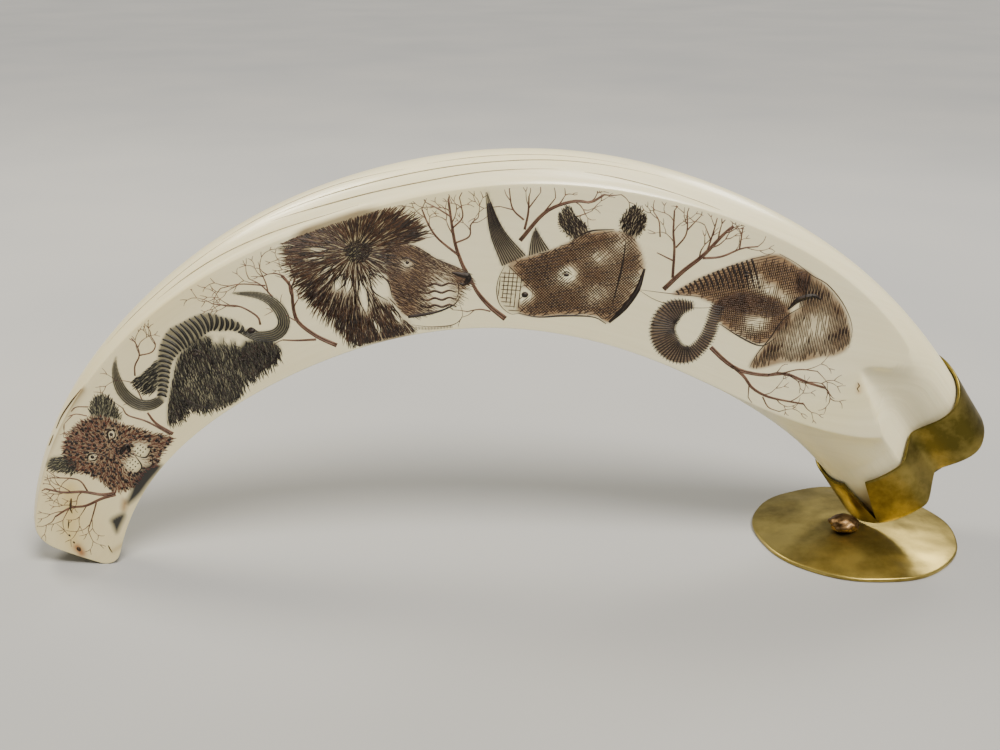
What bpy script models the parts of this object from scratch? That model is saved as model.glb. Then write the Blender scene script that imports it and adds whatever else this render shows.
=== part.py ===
"""Engraved warthog tusk that stands on its tip and on a brass foot.

The tusk is an arch with a flat polished face along its front. Its root sits in a thin brass cap,
folded from sheet with an open seam, and the cap is soldered to a domed brass disc.
X runs from the tip to the root, the polished face looks along -Y, and Z is up.
"""
import math

import bmesh
import bpy
import numpy as np

MM = 0.001

# Centre line of the tusk: it bends in the XZ plane and runs straight inside the cap.
ARC_LENGTH = 303.0 * MM
HEADINGS = (83.0, 49.3, 27.2, 7.2, -15.2, -34.2, -54.9)

# Cross-section at even steps from the tip to the end of the arc.
HALF_WIDTHS = (12.7 * MM, 16.8 * MM, 20.7 * MM, 22.6 * MM, 24.4 * MM, 24.9 * MM, 22.5 * MM)
HALF_THICKNESSES = (10.5 * MM, 12.5 * MM, 14.0 * MM, 15.0 * MM, 15.5 * MM, 15.0 * MM, 11.4 * MM)
FACE_DEPTHS = (2.8 * MM, 4.6 * MM, 8.2 * MM, 7.4 * MM, 7.4 * MM, 12.0 * MM)
LEANS = (0.31, 0.23, 0.22, -0.11)
ROOT_LEAN_BACK = 0.05
SQUARENESS = 2.3

# The groove along the front shows only at the root; the one along the back runs further.
FRONT_GROOVE_DEPTH = 5.0 * MM
FRONT_GROOVE_LENGTH = 126.0 * MM
FRONT_GROOVE_HEIGHT = 4.1 * MM
FRONT_GROOVE_LOWER_WIDTH = 6.1 * MM
FRONT_GROOVE_UPPER_WIDTH = 13.0 * MM
BACK_GROOVE_DEPTH = 2.2 * MM
BACK_GROOVE_LENGTH = 240.0 * MM
BACK_GROOVE_WIDTH = 7.0 * MM

# Ends of the tusk: the worn tip is cut aslant and rounded, the root is cut askew.
TIP_WEAR = 1.8 * MM
TIP_ROUND = 5.0 * MM
TIP_SLANT = 0.28
TIP_SLANT_RUN = 24.0 * MM
ROOT_SKEW = -0.26
ROOT_YAW = -0.73
ROOT_YAW_DEPTH = 3.0 * MM
ROOT_SKEW_RUN = 90.0 * MM

# Brass cap: a folded sheet around the root, closed by a plate, with a wedge-shaped open seam.
SHEET = 0.9 * MM
CAP_CLEARANCE = 0.3 * MM
CAP_START = ARC_LENGTH + 2.1 * MM
CAP_LENGTH = 17.1 * MM
SEAM_WIDTH = 5.0 * MM
SEAM_END_WIDTH = 0.3 * MM
SEAM_ANGLE = 222.0
SEAM_OVERRUN = 1.8 * MM
SEAM_STOP = 0.9 * MM
SEAM_CUT_MARGIN = 3.0 * MM

# Brass foot: a planished disc, hollow below, that stands on a flat ring.
FOOT_RADIUS = 30.0 * MM
FOOT_SHEET = 1.1 * MM
FOOT_RISE = 2.4 * MM
FOOT_RING = 3.0 * MM
FOOT_EDGE_ROUND = 0.3 * MM
FOOT_INWARD = 2.0 * MM

# Solder between cap and foot.
SOLDER_LENGTH = 10.0 * MM
SOLDER_WIDTH = 9.0 * MM
SOLDER_HEIGHT = 8.0 * MM
SOLDER_INWARD = 6.6 * MM
SOLDER_FORWARD = 4.0 * MM
SOLDER_BUMP = 0.10
SOLDER_BUMP_WAVES = (3.1, 2.7)
SOLDER_BUMP_PHASE = 1.0
SOLDER_RIPPLE = 0.07
SOLDER_RIPPLE_WAVES = (5.3, 2.0)
JOINT_GAP = 0.3 * MM

# Fineness of the meshes and of the sums along the centre line.
AROUND = 48
TIP_ROWS = 5
BODY_ROWS = 56
CAP_ROWS = 4
FOOT_STEPS = 56
FOOT_ROWS = 7
SOLDER_SUBDIVISIONS = 3
CENTRE_STEPS = 1200
OBLIQUE_ROUNDS = 5
PITCH_ROUNDS = 40
PITCH_LIMIT = 30.0
SHARP_ANGLE = 35.0
MERGE = 0.01 * MM

# Linear base colours, roughness and metallic value.
IVORY = ((0.74, 0.68, 0.50, 1.0), 0.32, 0.0)
BRASS = ((0.48, 0.36, 0.11, 1.0), 0.34, 1.0)
OLD_BRASS = ((0.40, 0.30, 0.09, 1.0), 0.38, 1.0)
SOLDER = ((0.34, 0.27, 0.16, 1.0), 0.42, 1.0)


def through(values, share):
    """Smooth curve through evenly spaced values; it is level beyond both ends."""
    values = np.asarray(values, float)
    slope = np.gradient(values)
    place = np.clip(share, 0, 1) * (len(values) - 1)
    step = np.minimum(place.astype(int), len(values) - 2)
    t = place - step
    return (
        (2 * t**3 - 3 * t**2 + 1) * values[step] + (t**3 - 2 * t**2 + t) * slope[step]
        + (3 * t**2 - 2 * t**3) * values[step + 1] + (t**3 - t**2) * slope[step + 1]
    )


def centre_line(along):
    """Point and heading of the centre line, at distances along it from the tip."""
    grid = np.linspace(0, ARC_LENGTH, CENTRE_STEPS + 1)
    heading = np.radians(through(HEADINGS, grid / ARC_LENGTH))
    step = grid[1]
    run_x = np.concatenate([[0], np.cumsum((np.cos(heading)[1:] + np.cos(heading)[:-1]) / 2 * step)])
    run_z = np.concatenate([[0], np.cumsum((np.sin(heading)[1:] + np.sin(heading)[:-1]) / 2 * step)])
    here = np.interp(along, grid, heading)
    beyond = np.minimum(along, 0) + np.maximum(along - ARC_LENGTH, 0)
    x = np.interp(along, grid, run_x) + beyond * np.cos(here)
    z = np.interp(along, grid, run_z) + beyond * np.sin(here)
    return x, z, here


def section(along, turn, inset=0.0):
    """Height across the centre line and depth behind the polished face.

    The section is a squarish oval that leans back towards its outer edge, less a groove in front
    and a groove behind.
    """
    share = along / ARC_LENGTH
    past = np.maximum(along - ARC_LENGTH, 0)
    width = through(HALF_WIDTHS, share) - inset
    thick = through(HALF_THICKNESSES, share) - inset
    middle = through(FACE_DEPTHS, share) + ROOT_LEAN_BACK * past
    lean = through(LEANS, share)
    across, facing = np.cos(turn), np.sin(turn)
    height = width * np.sign(across) * np.abs(across) ** (2 / SQUARENESS)
    bulge = np.abs(facing) ** (2 / SQUARENESS)
    front_start = CAP_START + CAP_LENGTH / 2 - FRONT_GROOVE_LENGTH
    front_depth = FRONT_GROOVE_DEPTH * np.clip((along - front_start) / FRONT_GROOVE_LENGTH, 0, 1)
    reach = np.where(height < FRONT_GROOVE_HEIGHT, FRONT_GROOVE_LOWER_WIDTH, FRONT_GROOVE_UPPER_WIDTH)
    front = front_depth * np.exp(-(((height - FRONT_GROOVE_HEIGHT) / reach) ** 2))
    back_start = CAP_START - BACK_GROOVE_LENGTH
    back_depth = BACK_GROOVE_DEPTH * np.clip((along - back_start) / BACK_GROOVE_LENGTH, 0, 1)
    back = back_depth * np.exp(-((height / BACK_GROOVE_WIDTH) ** 2))
    groove = np.where(facing < 0, front, back)
    depth = middle + lean * height + np.sign(facing) * bulge * (thick - groove)
    return height, depth


def oblique(along, turn, slant, share, inset=0.0):
    """Distances from the tip of the points where an oblique cut meets the surface.

    The cut leans by slant with the height; share says how much of the root's own skew it has.
    """
    place = np.full(len(turn), along)
    for _ in range(OBLIQUE_ROUNDS):
        height, depth = section(place, turn, inset)
        askew = ROOT_SKEW * height + ROOT_YAW * (depth - ROOT_YAW_DEPTH)
        place = along + slant * height + share * askew
    return place


def ring(along, slant, share, offset=0.0, inset=0.0):
    """One closed ring of surface points along an oblique cut, set off outwards by offset."""
    turn = np.arange(AROUND) * (2 * math.pi / AROUND)
    place = oblique(along, turn, slant, share, inset)
    height, depth = section(place, turn, inset)
    run = np.roll(height, -1) - np.roll(height, 1)
    rise = np.roll(depth, -1) - np.roll(depth, 1)
    size = np.hypot(run, rise)
    height = height + offset * rise / size
    depth = depth - offset * run / size
    x, z, heading = centre_line(place)
    return np.stack([x - np.sin(heading) * height, depth, z + np.cos(heading) * height], axis=1)


def tusk_rings():
    """Rings from the tip to the root, the first few drawn in to round the tip."""
    end = CAP_START + CAP_LENGTH - SHEET - CAP_CLEARANCE
    angle = np.linspace(0, math.pi / 2, TIP_ROWS)
    tip = TIP_WEAR + TIP_ROUND * (1 - np.cos(angle))
    body = np.linspace(tip[-1], end, BODY_ROWS)[1:]
    rings = []
    for along in np.concatenate([tip, body]):
        near = max(tip[-1] - along, 0)
        inset = TIP_ROUND - math.sqrt(TIP_ROUND**2 - near**2)
        slant = TIP_SLANT * max(1 - along / TIP_SLANT_RUN, 0)
        share = max(1 - max(CAP_START - along, 0) / ROOT_SKEW_RUN, 0)
        rings.append(ring(along, slant, share, inset=inset))
    return rings


def cap_rings():
    """Rings of the cap's outer wall from its end to its rim, then of its inner wall back again."""
    outside = CAP_CLEARANCE + SHEET
    end = CAP_START + CAP_LENGTH
    outer = [ring(a, 0, 1, outside) for a in np.linspace(end, CAP_START, CAP_ROWS)]
    inner = [ring(a, 0, 1, CAP_CLEARANCE) for a in np.linspace(CAP_START, end - SHEET, CAP_ROWS)]
    return outer + inner


def skinned(name, rings):
    """Mesh whose rings are joined each to the next and closed at both ends."""
    points = np.concatenate(rings)
    faces = [tuple(range(AROUND)), tuple(range(len(points) - AROUND, len(points)))]
    for row in range(len(rings) - 1):
        for column in range(AROUND):
            after = (column + 1) % AROUND
            low, high = row * AROUND, (row + 1) * AROUND
            faces.append((low + column, low + after, high + after, high + column))
    mesh = bpy.data.meshes.new(name)
    mesh.from_pydata([tuple(p) for p in points.tolist()], [], faces)
    edit = bmesh.new()
    edit.from_mesh(mesh)
    bmesh.ops.recalc_face_normals(edit, faces=edit.faces)
    edit.to_mesh(mesh)
    edit.free()
    return mesh


def raised(points, pitch):
    """Heights of points after the tusk is tipped up by pitch about its own tip."""
    return points[:, 0] * math.sin(pitch) + points[:, 2] * math.cos(pitch)


def advanced(points, pitch):
    """Places along X of points after the same tilt."""
    return points[:, 0] * math.cos(pitch) - points[:, 2] * math.sin(pitch)


def foot_top(radius):
    """Height of the foot's upper surface at a distance from its centre."""
    return FOOT_SHEET + FOOT_RISE * (1 - (radius / FOOT_RADIUS) ** 2)


def seat_pitch(ivory, cap):
    """Tilt at which the tusk's tip is on the ground while the cap just clears the foot's crown."""
    low, high = math.radians(-PITCH_LIMIT), math.radians(PITCH_LIMIT)
    wanted = foot_top(0) + JOINT_GAP
    for _ in range(PITCH_ROUNDS):
        middle = (low + high) / 2
        if raised(cap, middle).min() - raised(ivory, middle).min() > wanted:
            high = middle
        else:
            low = middle
    return (low + high) / 2


def foot_upper(grow):
    """Half outline of the disc's upper side and edge, down to the ground, grown outwards."""
    outer = FOOT_RADIUS + grow
    top = [(r, foot_top(r) + grow) for r in np.linspace(0, FOOT_RADIUS, FOOT_ROWS + 1)[:-1]]
    edge = [(outer - FOOT_EDGE_ROUND, foot_top(FOOT_RADIUS) + grow), (outer, foot_top(FOOT_RADIUS))]
    return top + edge + [(outer, FOOT_EDGE_ROUND - grow), (outer - FOOT_EDGE_ROUND, -grow)]


def foot_under():
    """Half outline of the disc's underside: a flat ring to stand on, then up into the dome."""
    inner = FOOT_RADIUS - FOOT_RING
    dome = [(r, foot_top(r) - FOOT_SHEET) for r in np.linspace(inner - FOOT_SHEET, 0, FOOT_ROWS)]
    return [(inner, 0)] + dome


def turned(name, outline):
    """Object turned from a half outline by a Screw modifier."""
    mesh = bpy.data.meshes.new(name)
    points = [(float(r), 0.0, float(z)) for r, z in outline]
    mesh.from_pydata(points, [(i, i + 1) for i in range(len(points) - 1)], [])
    made = bpy.data.objects.new(name, mesh)
    screw = made.modifiers.new("Turn", "SCREW")
    screw.steps = FOOT_STEPS
    screw.render_steps = FOOT_STEPS
    screw.use_merge_vertices = True
    screw.merge_threshold = MERGE
    return made


def solder_mesh(name):
    """Lump of solder: an oval ball with a few soft bumps."""
    edit = bmesh.new()
    bmesh.ops.create_icosphere(edit, subdivisions=SOLDER_SUBDIVISIONS, radius=1)
    for vert in edit.verts:
        x, y, z = vert.co
        bump = math.sin(SOLDER_BUMP_WAVES[0] * x + SOLDER_BUMP_PHASE) * math.cos(SOLDER_BUMP_WAVES[1] * y)
        ripple = math.sin(SOLDER_RIPPLE_WAVES[0] * y + SOLDER_RIPPLE_WAVES[1] * z)
        swell = 1 + SOLDER_BUMP * bump + SOLDER_RIPPLE * ripple
        vert.co.x *= SOLDER_LENGTH / 2 * swell
        vert.co.y *= SOLDER_WIDTH / 2 * swell
        vert.co.z *= SOLDER_HEIGHT / 2 * swell
    mesh = bpy.data.meshes.new(name)
    edit.to_mesh(mesh)
    edit.free()
    return mesh


def seam_mesh(name):
    """Wedge that opens the cap's seam: widest at the rim, closed just before the end plate."""
    turn = np.radians(np.array([SEAM_ANGLE]))
    start, end = CAP_START - SEAM_OVERRUN, CAP_START + CAP_LENGTH - SHEET - SEAM_STOP
    corners = []
    for along, width in ((start, SEAM_WIDTH), (end, SEAM_END_WIDTH)):
        place = oblique(along, turn, 0, 1)
        height, depth = section(place, turn)
        for outward in (-SEAM_CUT_MARGIN, CAP_CLEARANCE + SHEET + SEAM_CUT_MARGIN):
            for side in (-width / 2, width / 2):
                out_height, out_depth = math.cos(turn[0]), math.sin(turn[0])
                n = height + outward * out_height - side * out_depth
                d = depth + outward * out_depth + side * out_height
                x, z, heading = centre_line(place)
                corners.append((
                    float(x[0] - math.sin(heading[0]) * n[0]), float(d[0]),
                    float(z[0] + math.cos(heading[0]) * n[0]),
                ))
    faces = [(0, 1, 3, 2), (4, 6, 7, 5), (0, 4, 5, 1), (2, 3, 7, 6), (0, 2, 6, 4), (1, 5, 7, 3)]
    mesh = bpy.data.meshes.new(name)
    mesh.from_pydata(corners, [], faces)
    edit = bmesh.new()
    edit.from_mesh(mesh)
    bmesh.ops.recalc_face_normals(edit, faces=edit.faces)
    edit.to_mesh(mesh)
    edit.free()
    return mesh


def finish(name, look):
    """Principled material of one colour, roughness and metallic value."""
    colour, roughness, metallic = look
    material = bpy.data.materials.new(name)
    material.use_nodes = True
    shader = material.node_tree.nodes["Principled BSDF"]
    shader.inputs["Base Color"].default_value = colour
    shader.inputs["Roughness"].default_value = roughness
    shader.inputs["Metallic"].default_value = metallic
    return material


def add(made, parent, collection, material=None):
    """Put an object in its collection, under its parent and with its material."""
    collection.objects.link(made)
    made.parent = parent
    if material:
        made.data.materials.append(material)
        made.data.shade_smooth()
        made.data.set_sharp_from_angle(angle=math.radians(SHARP_ANGLE))
    else:
        made.display_type = "WIRE"
        made.hide_render = True
    return made


def cut(made, cutter):
    """Take a cutter away from an object."""
    boolean = made.modifiers.new("Cut", "BOOLEAN")
    boolean.operation = "DIFFERENCE"
    boolean.object = cutter


def main():
    for old in list(bpy.data.objects):
        bpy.data.objects.remove(old, do_unlink=True)
    parts = bpy.data.collections.new("scrimshaw_tusk")
    cutters = bpy.data.collections.new("cutters")
    bpy.context.scene.collection.children.link(parts)
    bpy.context.scene.collection.children.link(cutters)

    rings = tusk_rings()
    walls = cap_rings()
    ivory = np.concatenate(rings)
    cap = np.concatenate(walls[:CAP_ROWS])
    pitch = seat_pitch(ivory, cap)
    ground = raised(ivory, pitch).min()
    low = cap[raised(cap, pitch).argmin()]
    face = -low[1]
    low_x = advanced(low[None], pitch)[0]
    reach_x = advanced(np.concatenate([ivory, cap]), pitch)
    foot_x = low_x - FOOT_INWARD
    left = min(reach_x.min(), foot_x - FOOT_RADIUS)
    right = max(reach_x.max(), foot_x + FOOT_RADIUS)

    base = bpy.data.objects.new("stand_base", None)
    parts.objects.link(base)
    base.location = (-(left + right) / 2, 0, 0)

    def on_tusk(made):
        made.location = (0, face, -ground)
        made.rotation_euler = (0, -pitch, 0)
        return made

    tusk = on_tusk(bpy.data.objects.new("warthog_tusk", skinned("warthog_tusk", rings)))
    add(tusk, base, parts, finish("polished ivory", IVORY))
    reach = ARC_LENGTH * 2
    slab = bpy.data.meshes.new("polished_face_cutter")
    edit = bmesh.new()
    bmesh.ops.create_cube(edit, size=reach)
    edit.to_mesh(slab)
    edit.free()
    face_cutter = bpy.data.objects.new("polished_face_cutter", slab)
    face_cutter.location = (0, face - reach / 2, 0)
    cut(tusk, add(face_cutter, base, cutters))

    brass_cap = on_tusk(bpy.data.objects.new("brass_cap", skinned("brass_cap", walls)))
    add(brass_cap, base, parts, finish("folded brass sheet", OLD_BRASS))
    seam = on_tusk(bpy.data.objects.new("seam_cutter", seam_mesh("seam_cutter")))
    cut(brass_cap, add(seam, base, cutters))

    foot = turned("brass_foot", foot_upper(0) + foot_under())
    foot.location = (foot_x, 0, 0)
    add(foot, base, parts, finish("planished brass", BRASS))

    solder = bpy.data.objects.new("solder_joint", solder_mesh("solder_joint"))
    solder.location = (low_x - SOLDER_INWARD, -SOLDER_FORWARD, foot_top(0))
    add(solder, base, parts, finish("soft solder", SOLDER))
    outline = foot_upper(JOINT_GAP) + [(0, -SOLDER_HEIGHT)]
    foot_space = turned("foot_clearance_cutter", outline)
    foot_space.location = foot.location
    cut(solder, add(foot_space, base, cutters))
    beyond = CAP_CLEARANCE + SHEET + JOINT_GAP
    ends = (CAP_START + CAP_LENGTH + JOINT_GAP, CAP_START - JOINT_GAP)
    grown = [ring(a, 0, 1, beyond) for a in np.linspace(ends[0], ends[1], CAP_ROWS)]
    cap_mesh = skinned("cap_clearance_cutter", grown)
    cap_space = on_tusk(bpy.data.objects.new("cap_clearance_cutter", cap_mesh))
    cut(solder, add(cap_space, base, cutters))


main()
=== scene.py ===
"""Looks of the engraved warthog tusk on its brass foot: polished ivory, inked pictures and brass.

Lengths are in millimetres, and angles in degrees unless a comment says radians. They turn to metres
and radians where a mesh, lamp or node takes them. X runs from the tip to the root, the polished
face looks along -Y, and Z is up. The drawing's own points are (x, z) pairs on the face.
"""
import math

import bmesh
import bpy
import numpy as np
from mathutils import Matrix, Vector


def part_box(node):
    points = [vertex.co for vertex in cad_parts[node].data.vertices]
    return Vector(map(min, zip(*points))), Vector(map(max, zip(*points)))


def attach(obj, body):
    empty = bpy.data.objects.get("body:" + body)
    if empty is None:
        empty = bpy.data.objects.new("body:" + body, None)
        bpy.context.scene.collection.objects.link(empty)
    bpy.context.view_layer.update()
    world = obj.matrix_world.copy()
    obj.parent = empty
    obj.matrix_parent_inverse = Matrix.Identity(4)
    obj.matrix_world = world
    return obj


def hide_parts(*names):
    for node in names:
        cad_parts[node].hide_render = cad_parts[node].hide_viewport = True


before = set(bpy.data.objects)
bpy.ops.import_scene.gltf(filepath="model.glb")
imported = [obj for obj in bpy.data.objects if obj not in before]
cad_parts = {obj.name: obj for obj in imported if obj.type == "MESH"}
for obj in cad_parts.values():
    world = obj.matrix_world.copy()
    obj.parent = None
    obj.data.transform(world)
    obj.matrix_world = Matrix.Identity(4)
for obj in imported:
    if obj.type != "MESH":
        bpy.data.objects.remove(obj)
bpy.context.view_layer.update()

MM = 0.001
CHANCE = np.random.default_rng(11)
HAMMER = np.random.default_rng(5)

# The tusk's own form, as in the solids: centre line, cross-section, grooves and cut ends.
ARC_LENGTH = 303.0
HEADINGS = (83.0, 49.3, 27.2, 7.2, -15.2, -34.2, -54.9)
HALF_WIDTHS = (12.7, 16.8, 20.7, 22.6, 24.4, 24.9, 22.5)
HALF_THICKNESSES = (10.5, 12.5, 14.0, 15.0, 15.5, 15.0, 11.4)
FACE_DEPTHS = (2.8, 4.6, 8.2, 7.4, 7.4, 12.0)
LEANS = (0.31, 0.23, 0.22, -0.11)
ROOT_LEAN_BACK = 0.05
SQUARENESS = 2.3
FRONT_GROOVE_DEPTH = 7.0
FRONT_GROOVE_LENGTH = 126.0
FRONT_GROOVE_HEIGHT = 4.1
FRONT_GROOVE_LOWER_WIDTH = 7.5
FRONT_GROOVE_UPPER_WIDTH = 14.0
VALLEY_BOTTOM = 0.04
VALLEY_SHOULDER = 0.01
BACK_GROOVE_DEPTH = 2.2
BACK_GROOVE_LENGTH = 240.0
BACK_GROOVE_WIDTH = 7.0
TIP_WEAR = 1.8
TIP_ROUND = 5.0
TIP_SLANT = 0.28
TIP_SLANT_RUN = 24.0
ROOT_SKEW = -0.26
ROOT_YAW = -0.73
ROOT_YAW_DEPTH = 3.0
ROOT_SKEW_RUN = 90.0
SEAT_PITCH = -0.073

# Folded sheet of the cap, with its open seam, and the disc of the foot.
SHEET = 0.9
CAP_CLEARANCE = 0.3
CAP_START = ARC_LENGTH + 2.1
CAP_LENGTH = 17.1
SEAM_ANGLE = 222.0
SEAM_WIDTH = 5.0
SEAM_OVERRUN = 1.8
SEAM_STOP = 0.9
FOOT_SHEET = 1.1
FOOT_RISE = 2.4
FOOT_RING = 3.0
FOOT_EDGE_ROUND = 0.3
FOOT_MIDDLE = 0.4
FOOT_LOWEST_DENT = 0.05

# Camera and floor.
CAMERA_PLACE = (-16.88, -330.32, 176.8)
CAMERA_DOWN = 20.55
CAMERA_ASIDE = 2.4
CAMERA_LENS = 44.57
SENSOR = 36.0
FLOOR_SIZE = 8000.0
FLOOR_DROP = 0.1

# Fineness of the meshes, and how the polished face's border is rounded and bevelled.
FACE_COLUMNS = 118
BACK_COLUMNS = 66
TIP_ROWS = 12
BODY_ROWS = 440
EDGE_ROUNDING = 0.30
BEVEL = 1.2
BEVEL_RUN = 0.5
BEVEL_FADE = 5.0
CENTRE_STEPS = 1200
CUT_ROUNDS = 5
TURN_STEPS = 1440
BORDER_SMOOTHING = 9
BATCH = 4096
CAP_COLUMNS = 220
CAP_ROWS = 26
CAP_CORNER = 0.7
PLATE_ROWS = 10
PLATE_MIDDLE = 0.04
RIM_ROWS = 5
FOOT_COLUMNS = 200
FOOT_ROWS = 80
HAMMER_MARKS = 90
SOLDER_ROWS = 48
SOLDER_COLUMNS = 72
SOLDER_POLE = 0.04

# Engraving: how far the ink stands proud of the face, how deep its groove is, how far inside the
# face's border strokes end, which dirt lines run past, and how a stroke thins at its ends.
INK_PROUD = 0.02
INK_DEEP = 0.05
FACE_MARGIN = 0.7
DIRT_MARGIN = -2.0
TAPERED = (0.3, 1, 0.3)

# Colours that multiply the ivory's at the worn tip, and the painted shade inside the cap, and where they
# fade.
TIP_TINT = (0.84, 0.79, 0.68)
TIP_TINT_REACH = 150
TIP_TINT_POWER = 1.3
CAP_SHADE_TINT = (0.16, 0.12, 0.08)
CAP_SHADE_START = 3
CAP_SHADE_RUN = 8

# Depth over which the ridges of the natural surface begin, their strength, and how far the
# roughness of the brass varies.
NATURAL_RUN = 1.5
NATURAL_BUMP = 0.45
GLOSS_SPREAD = 0.06


def linear(code):
    """Linear colour of an sRGB hex code such as "c8b070"."""
    parts = [int(code[i:i + 2], 16) / 255 for i in (0, 2, 4)]
    return tuple(c / 12.92 if c <= 0.04045 else ((c + 0.055) / 1.055) ** 2.4 for c in parts) + (1.0,)


def add_node(material, kind, values=None, links=None, **settings):
    """Node of a kind, with settings, values by input name or number, and links from other outputs."""
    tree = material.node_tree
    node = tree.nodes.new(kind)
    for key, value in settings.items():
        setattr(node, key, value)
    for key, value in (values or {}).items():
        node.inputs[key].default_value = value
    for key, output in (links or {}).items():
        tree.links.new(output, node.inputs[key])
    return node


def new_material(name, **values):
    """Principled material with plain values by input name, and its shader node."""
    material = bpy.data.materials.new(name)
    material.use_nodes = True
    shader = material.node_tree.nodes["Principled BSDF"]
    for key, value in values.items():
        shader.inputs[key.replace("_", " ")].default_value = value
    return material, shader


def join(material, output, node, key):
    """Link an output to an input of a node."""
    material.node_tree.links.new(output, node.inputs[key])


def two_colours(material, output, low, high):
    """Colour ramp between two (position, hex code) stops, led by an output."""
    ramp = add_node(material, "ShaderNodeValToRGB", links={"Fac": output})
    for element, (position, code) in zip(ramp.color_ramp.elements, (low, high)):
        element.position = position
        element.color = linear(code)
    return ramp.outputs["Color"]


def through(values, share):
    """Smooth curve through evenly spaced values, level beyond both ends (cubic Hermite)."""
    values = np.asarray(values, float)
    slope = np.gradient(values)
    place = np.clip(share, 0, 1) * (len(values) - 1)
    step = np.minimum(place.astype(int), len(values) - 2)
    t = place - step
    return (
        (2 * t**3 - 3 * t**2 + 1) * values[step] + (t**3 - 2 * t**2 + t) * slope[step]
        + (3 * t**2 - 2 * t**3) * values[step + 1] + (t**3 - t**2) * slope[step + 1]
    )


def centre_line(along):
    """Point and heading of the centre line: the running sum of the cosine and sine of the heading."""
    grid = np.linspace(0, ARC_LENGTH, CENTRE_STEPS + 1)
    heading = np.radians(through(HEADINGS, grid / ARC_LENGTH))
    half = grid[1] / 2
    run_x = np.concatenate([[0], np.cumsum((np.cos(heading)[1:] + np.cos(heading)[:-1]) * half)])
    run_z = np.concatenate([[0], np.cumsum((np.sin(heading)[1:] + np.sin(heading)[:-1]) * half)])
    here = np.interp(along, grid, heading)
    beyond = np.minimum(along, 0) + np.maximum(along - ARC_LENGTH, 0)
    x = np.interp(along, grid, run_x) + beyond * np.cos(here)
    z = np.interp(along, grid, run_z) + beyond * np.sin(here)
    return x, z, here


def valley(share):
    """Depth of a V with rounded bottom and shoulders: full in the middle, and gone at a share of one.

    Each corner is rounded by the root of a square plus a small number.
    """
    fall = 1 - np.sqrt(share**2 + VALLEY_BOTTOM)
    return (fall + np.sqrt(fall**2 + VALLEY_SHOULDER)) / 2


def section(along, turn, inset=0.0):
    """Height across the centre line and depth behind the polished face.

    A squarish oval (cosine and sine raised to 2 / SQUARENESS) that leans with its height, less a
    valley in front, near the root, and a bell-shaped groove behind.
    """
    share = along / ARC_LENGTH
    past = np.maximum(along - ARC_LENGTH, 0)
    width = through(HALF_WIDTHS, share) - inset
    thick = through(HALF_THICKNESSES, share) - inset
    middle = through(FACE_DEPTHS, share) + ROOT_LEAN_BACK * past
    lean = through(LEANS, share)
    across, facing = np.cos(turn), np.sin(turn)
    height = width * np.sign(across) * np.abs(across) ** (2 / SQUARENESS)
    bulge = np.abs(facing) ** (2 / SQUARENESS)
    front_start = CAP_START + CAP_LENGTH / 2 - FRONT_GROOVE_LENGTH
    front_depth = FRONT_GROOVE_DEPTH * np.clip((along - front_start) / FRONT_GROOVE_LENGTH, 0, 1)
    reach = np.where(height < FRONT_GROOVE_HEIGHT, FRONT_GROOVE_LOWER_WIDTH, FRONT_GROOVE_UPPER_WIDTH)
    front = front_depth * valley((height - FRONT_GROOVE_HEIGHT) / reach)
    back_start = CAP_START - BACK_GROOVE_LENGTH
    back_depth = BACK_GROOVE_DEPTH * np.clip((along - back_start) / BACK_GROOVE_LENGTH, 0, 1)
    back = back_depth * np.exp(-((height / BACK_GROOVE_WIDTH) ** 2))
    groove = np.where(facing < 0, front, back)
    return height, middle + lean * height + np.sign(facing) * bulge * (thick - groove)


def oblique(along, turn, slant, share, inset=0.0):
    """Distances along the tusk where an oblique cut meets its surface, found in a few rounds."""
    place = along + 0 * turn
    for _ in range(CUT_ROUNDS):
        height, depth = section(place, turn, inset)
        askew = ROOT_SKEW * height + ROOT_YAW * (depth - ROOT_YAW_DEPTH)
        place = along + slant * height + share * askew
    return place


def tip_slant(along):
    """Slant of the worn tip's cut, fading out along the tusk."""
    return TIP_SLANT * np.maximum(1 - along / TIP_SLANT_RUN, 0)


def tip_inset(along):
    """How far the section is drawn in near the tip, along a quarter of a circle."""
    near = np.clip(TIP_WEAR + TIP_ROUND - along, 0, TIP_ROUND)
    return TIP_ROUND - np.sqrt(TIP_ROUND**2 - near**2)


def behind_face(depth):
    """Depth pressed back behind the face's plane: a soft maximum of depth and zero.

    Just behind the border the surface falls away a little more, as a bevel that fades out.
    """
    # The tip end is beige, the root end is whiter, and the end inside the cap is darkened with painted shade.
    behind = np.maximum(depth, 0)
    bevel = BEVEL * (1 - np.exp(-behind / BEVEL_RUN)) * np.exp(-behind / BEVEL_FADE)
    return (depth + np.sqrt(depth**2 + EDGE_ROUNDING**2)) / 2 + bevel


def seated(x, depth, z):
    """Points of the tusk's own frame, tilted by the seat and set where the solid tusk stands."""
    pitch = math.radians(SEAT_PITCH)
    across = x * math.cos(pitch) - z * math.sin(pitch)
    up = x * math.sin(pitch) + z * math.cos(pitch)
    return np.stack([across + ORIGIN[0], depth + ORIGIN[1], up + ORIGIN[2]], axis=-1)


def on_section(place, height, depth):
    """Points of the tusk at distances along it, heights across it and depths behind its face."""
    x, z, heading = centre_line(place)
    return seated(x - np.sin(heading) * height, depth, z + np.cos(heading) * height)


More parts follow.
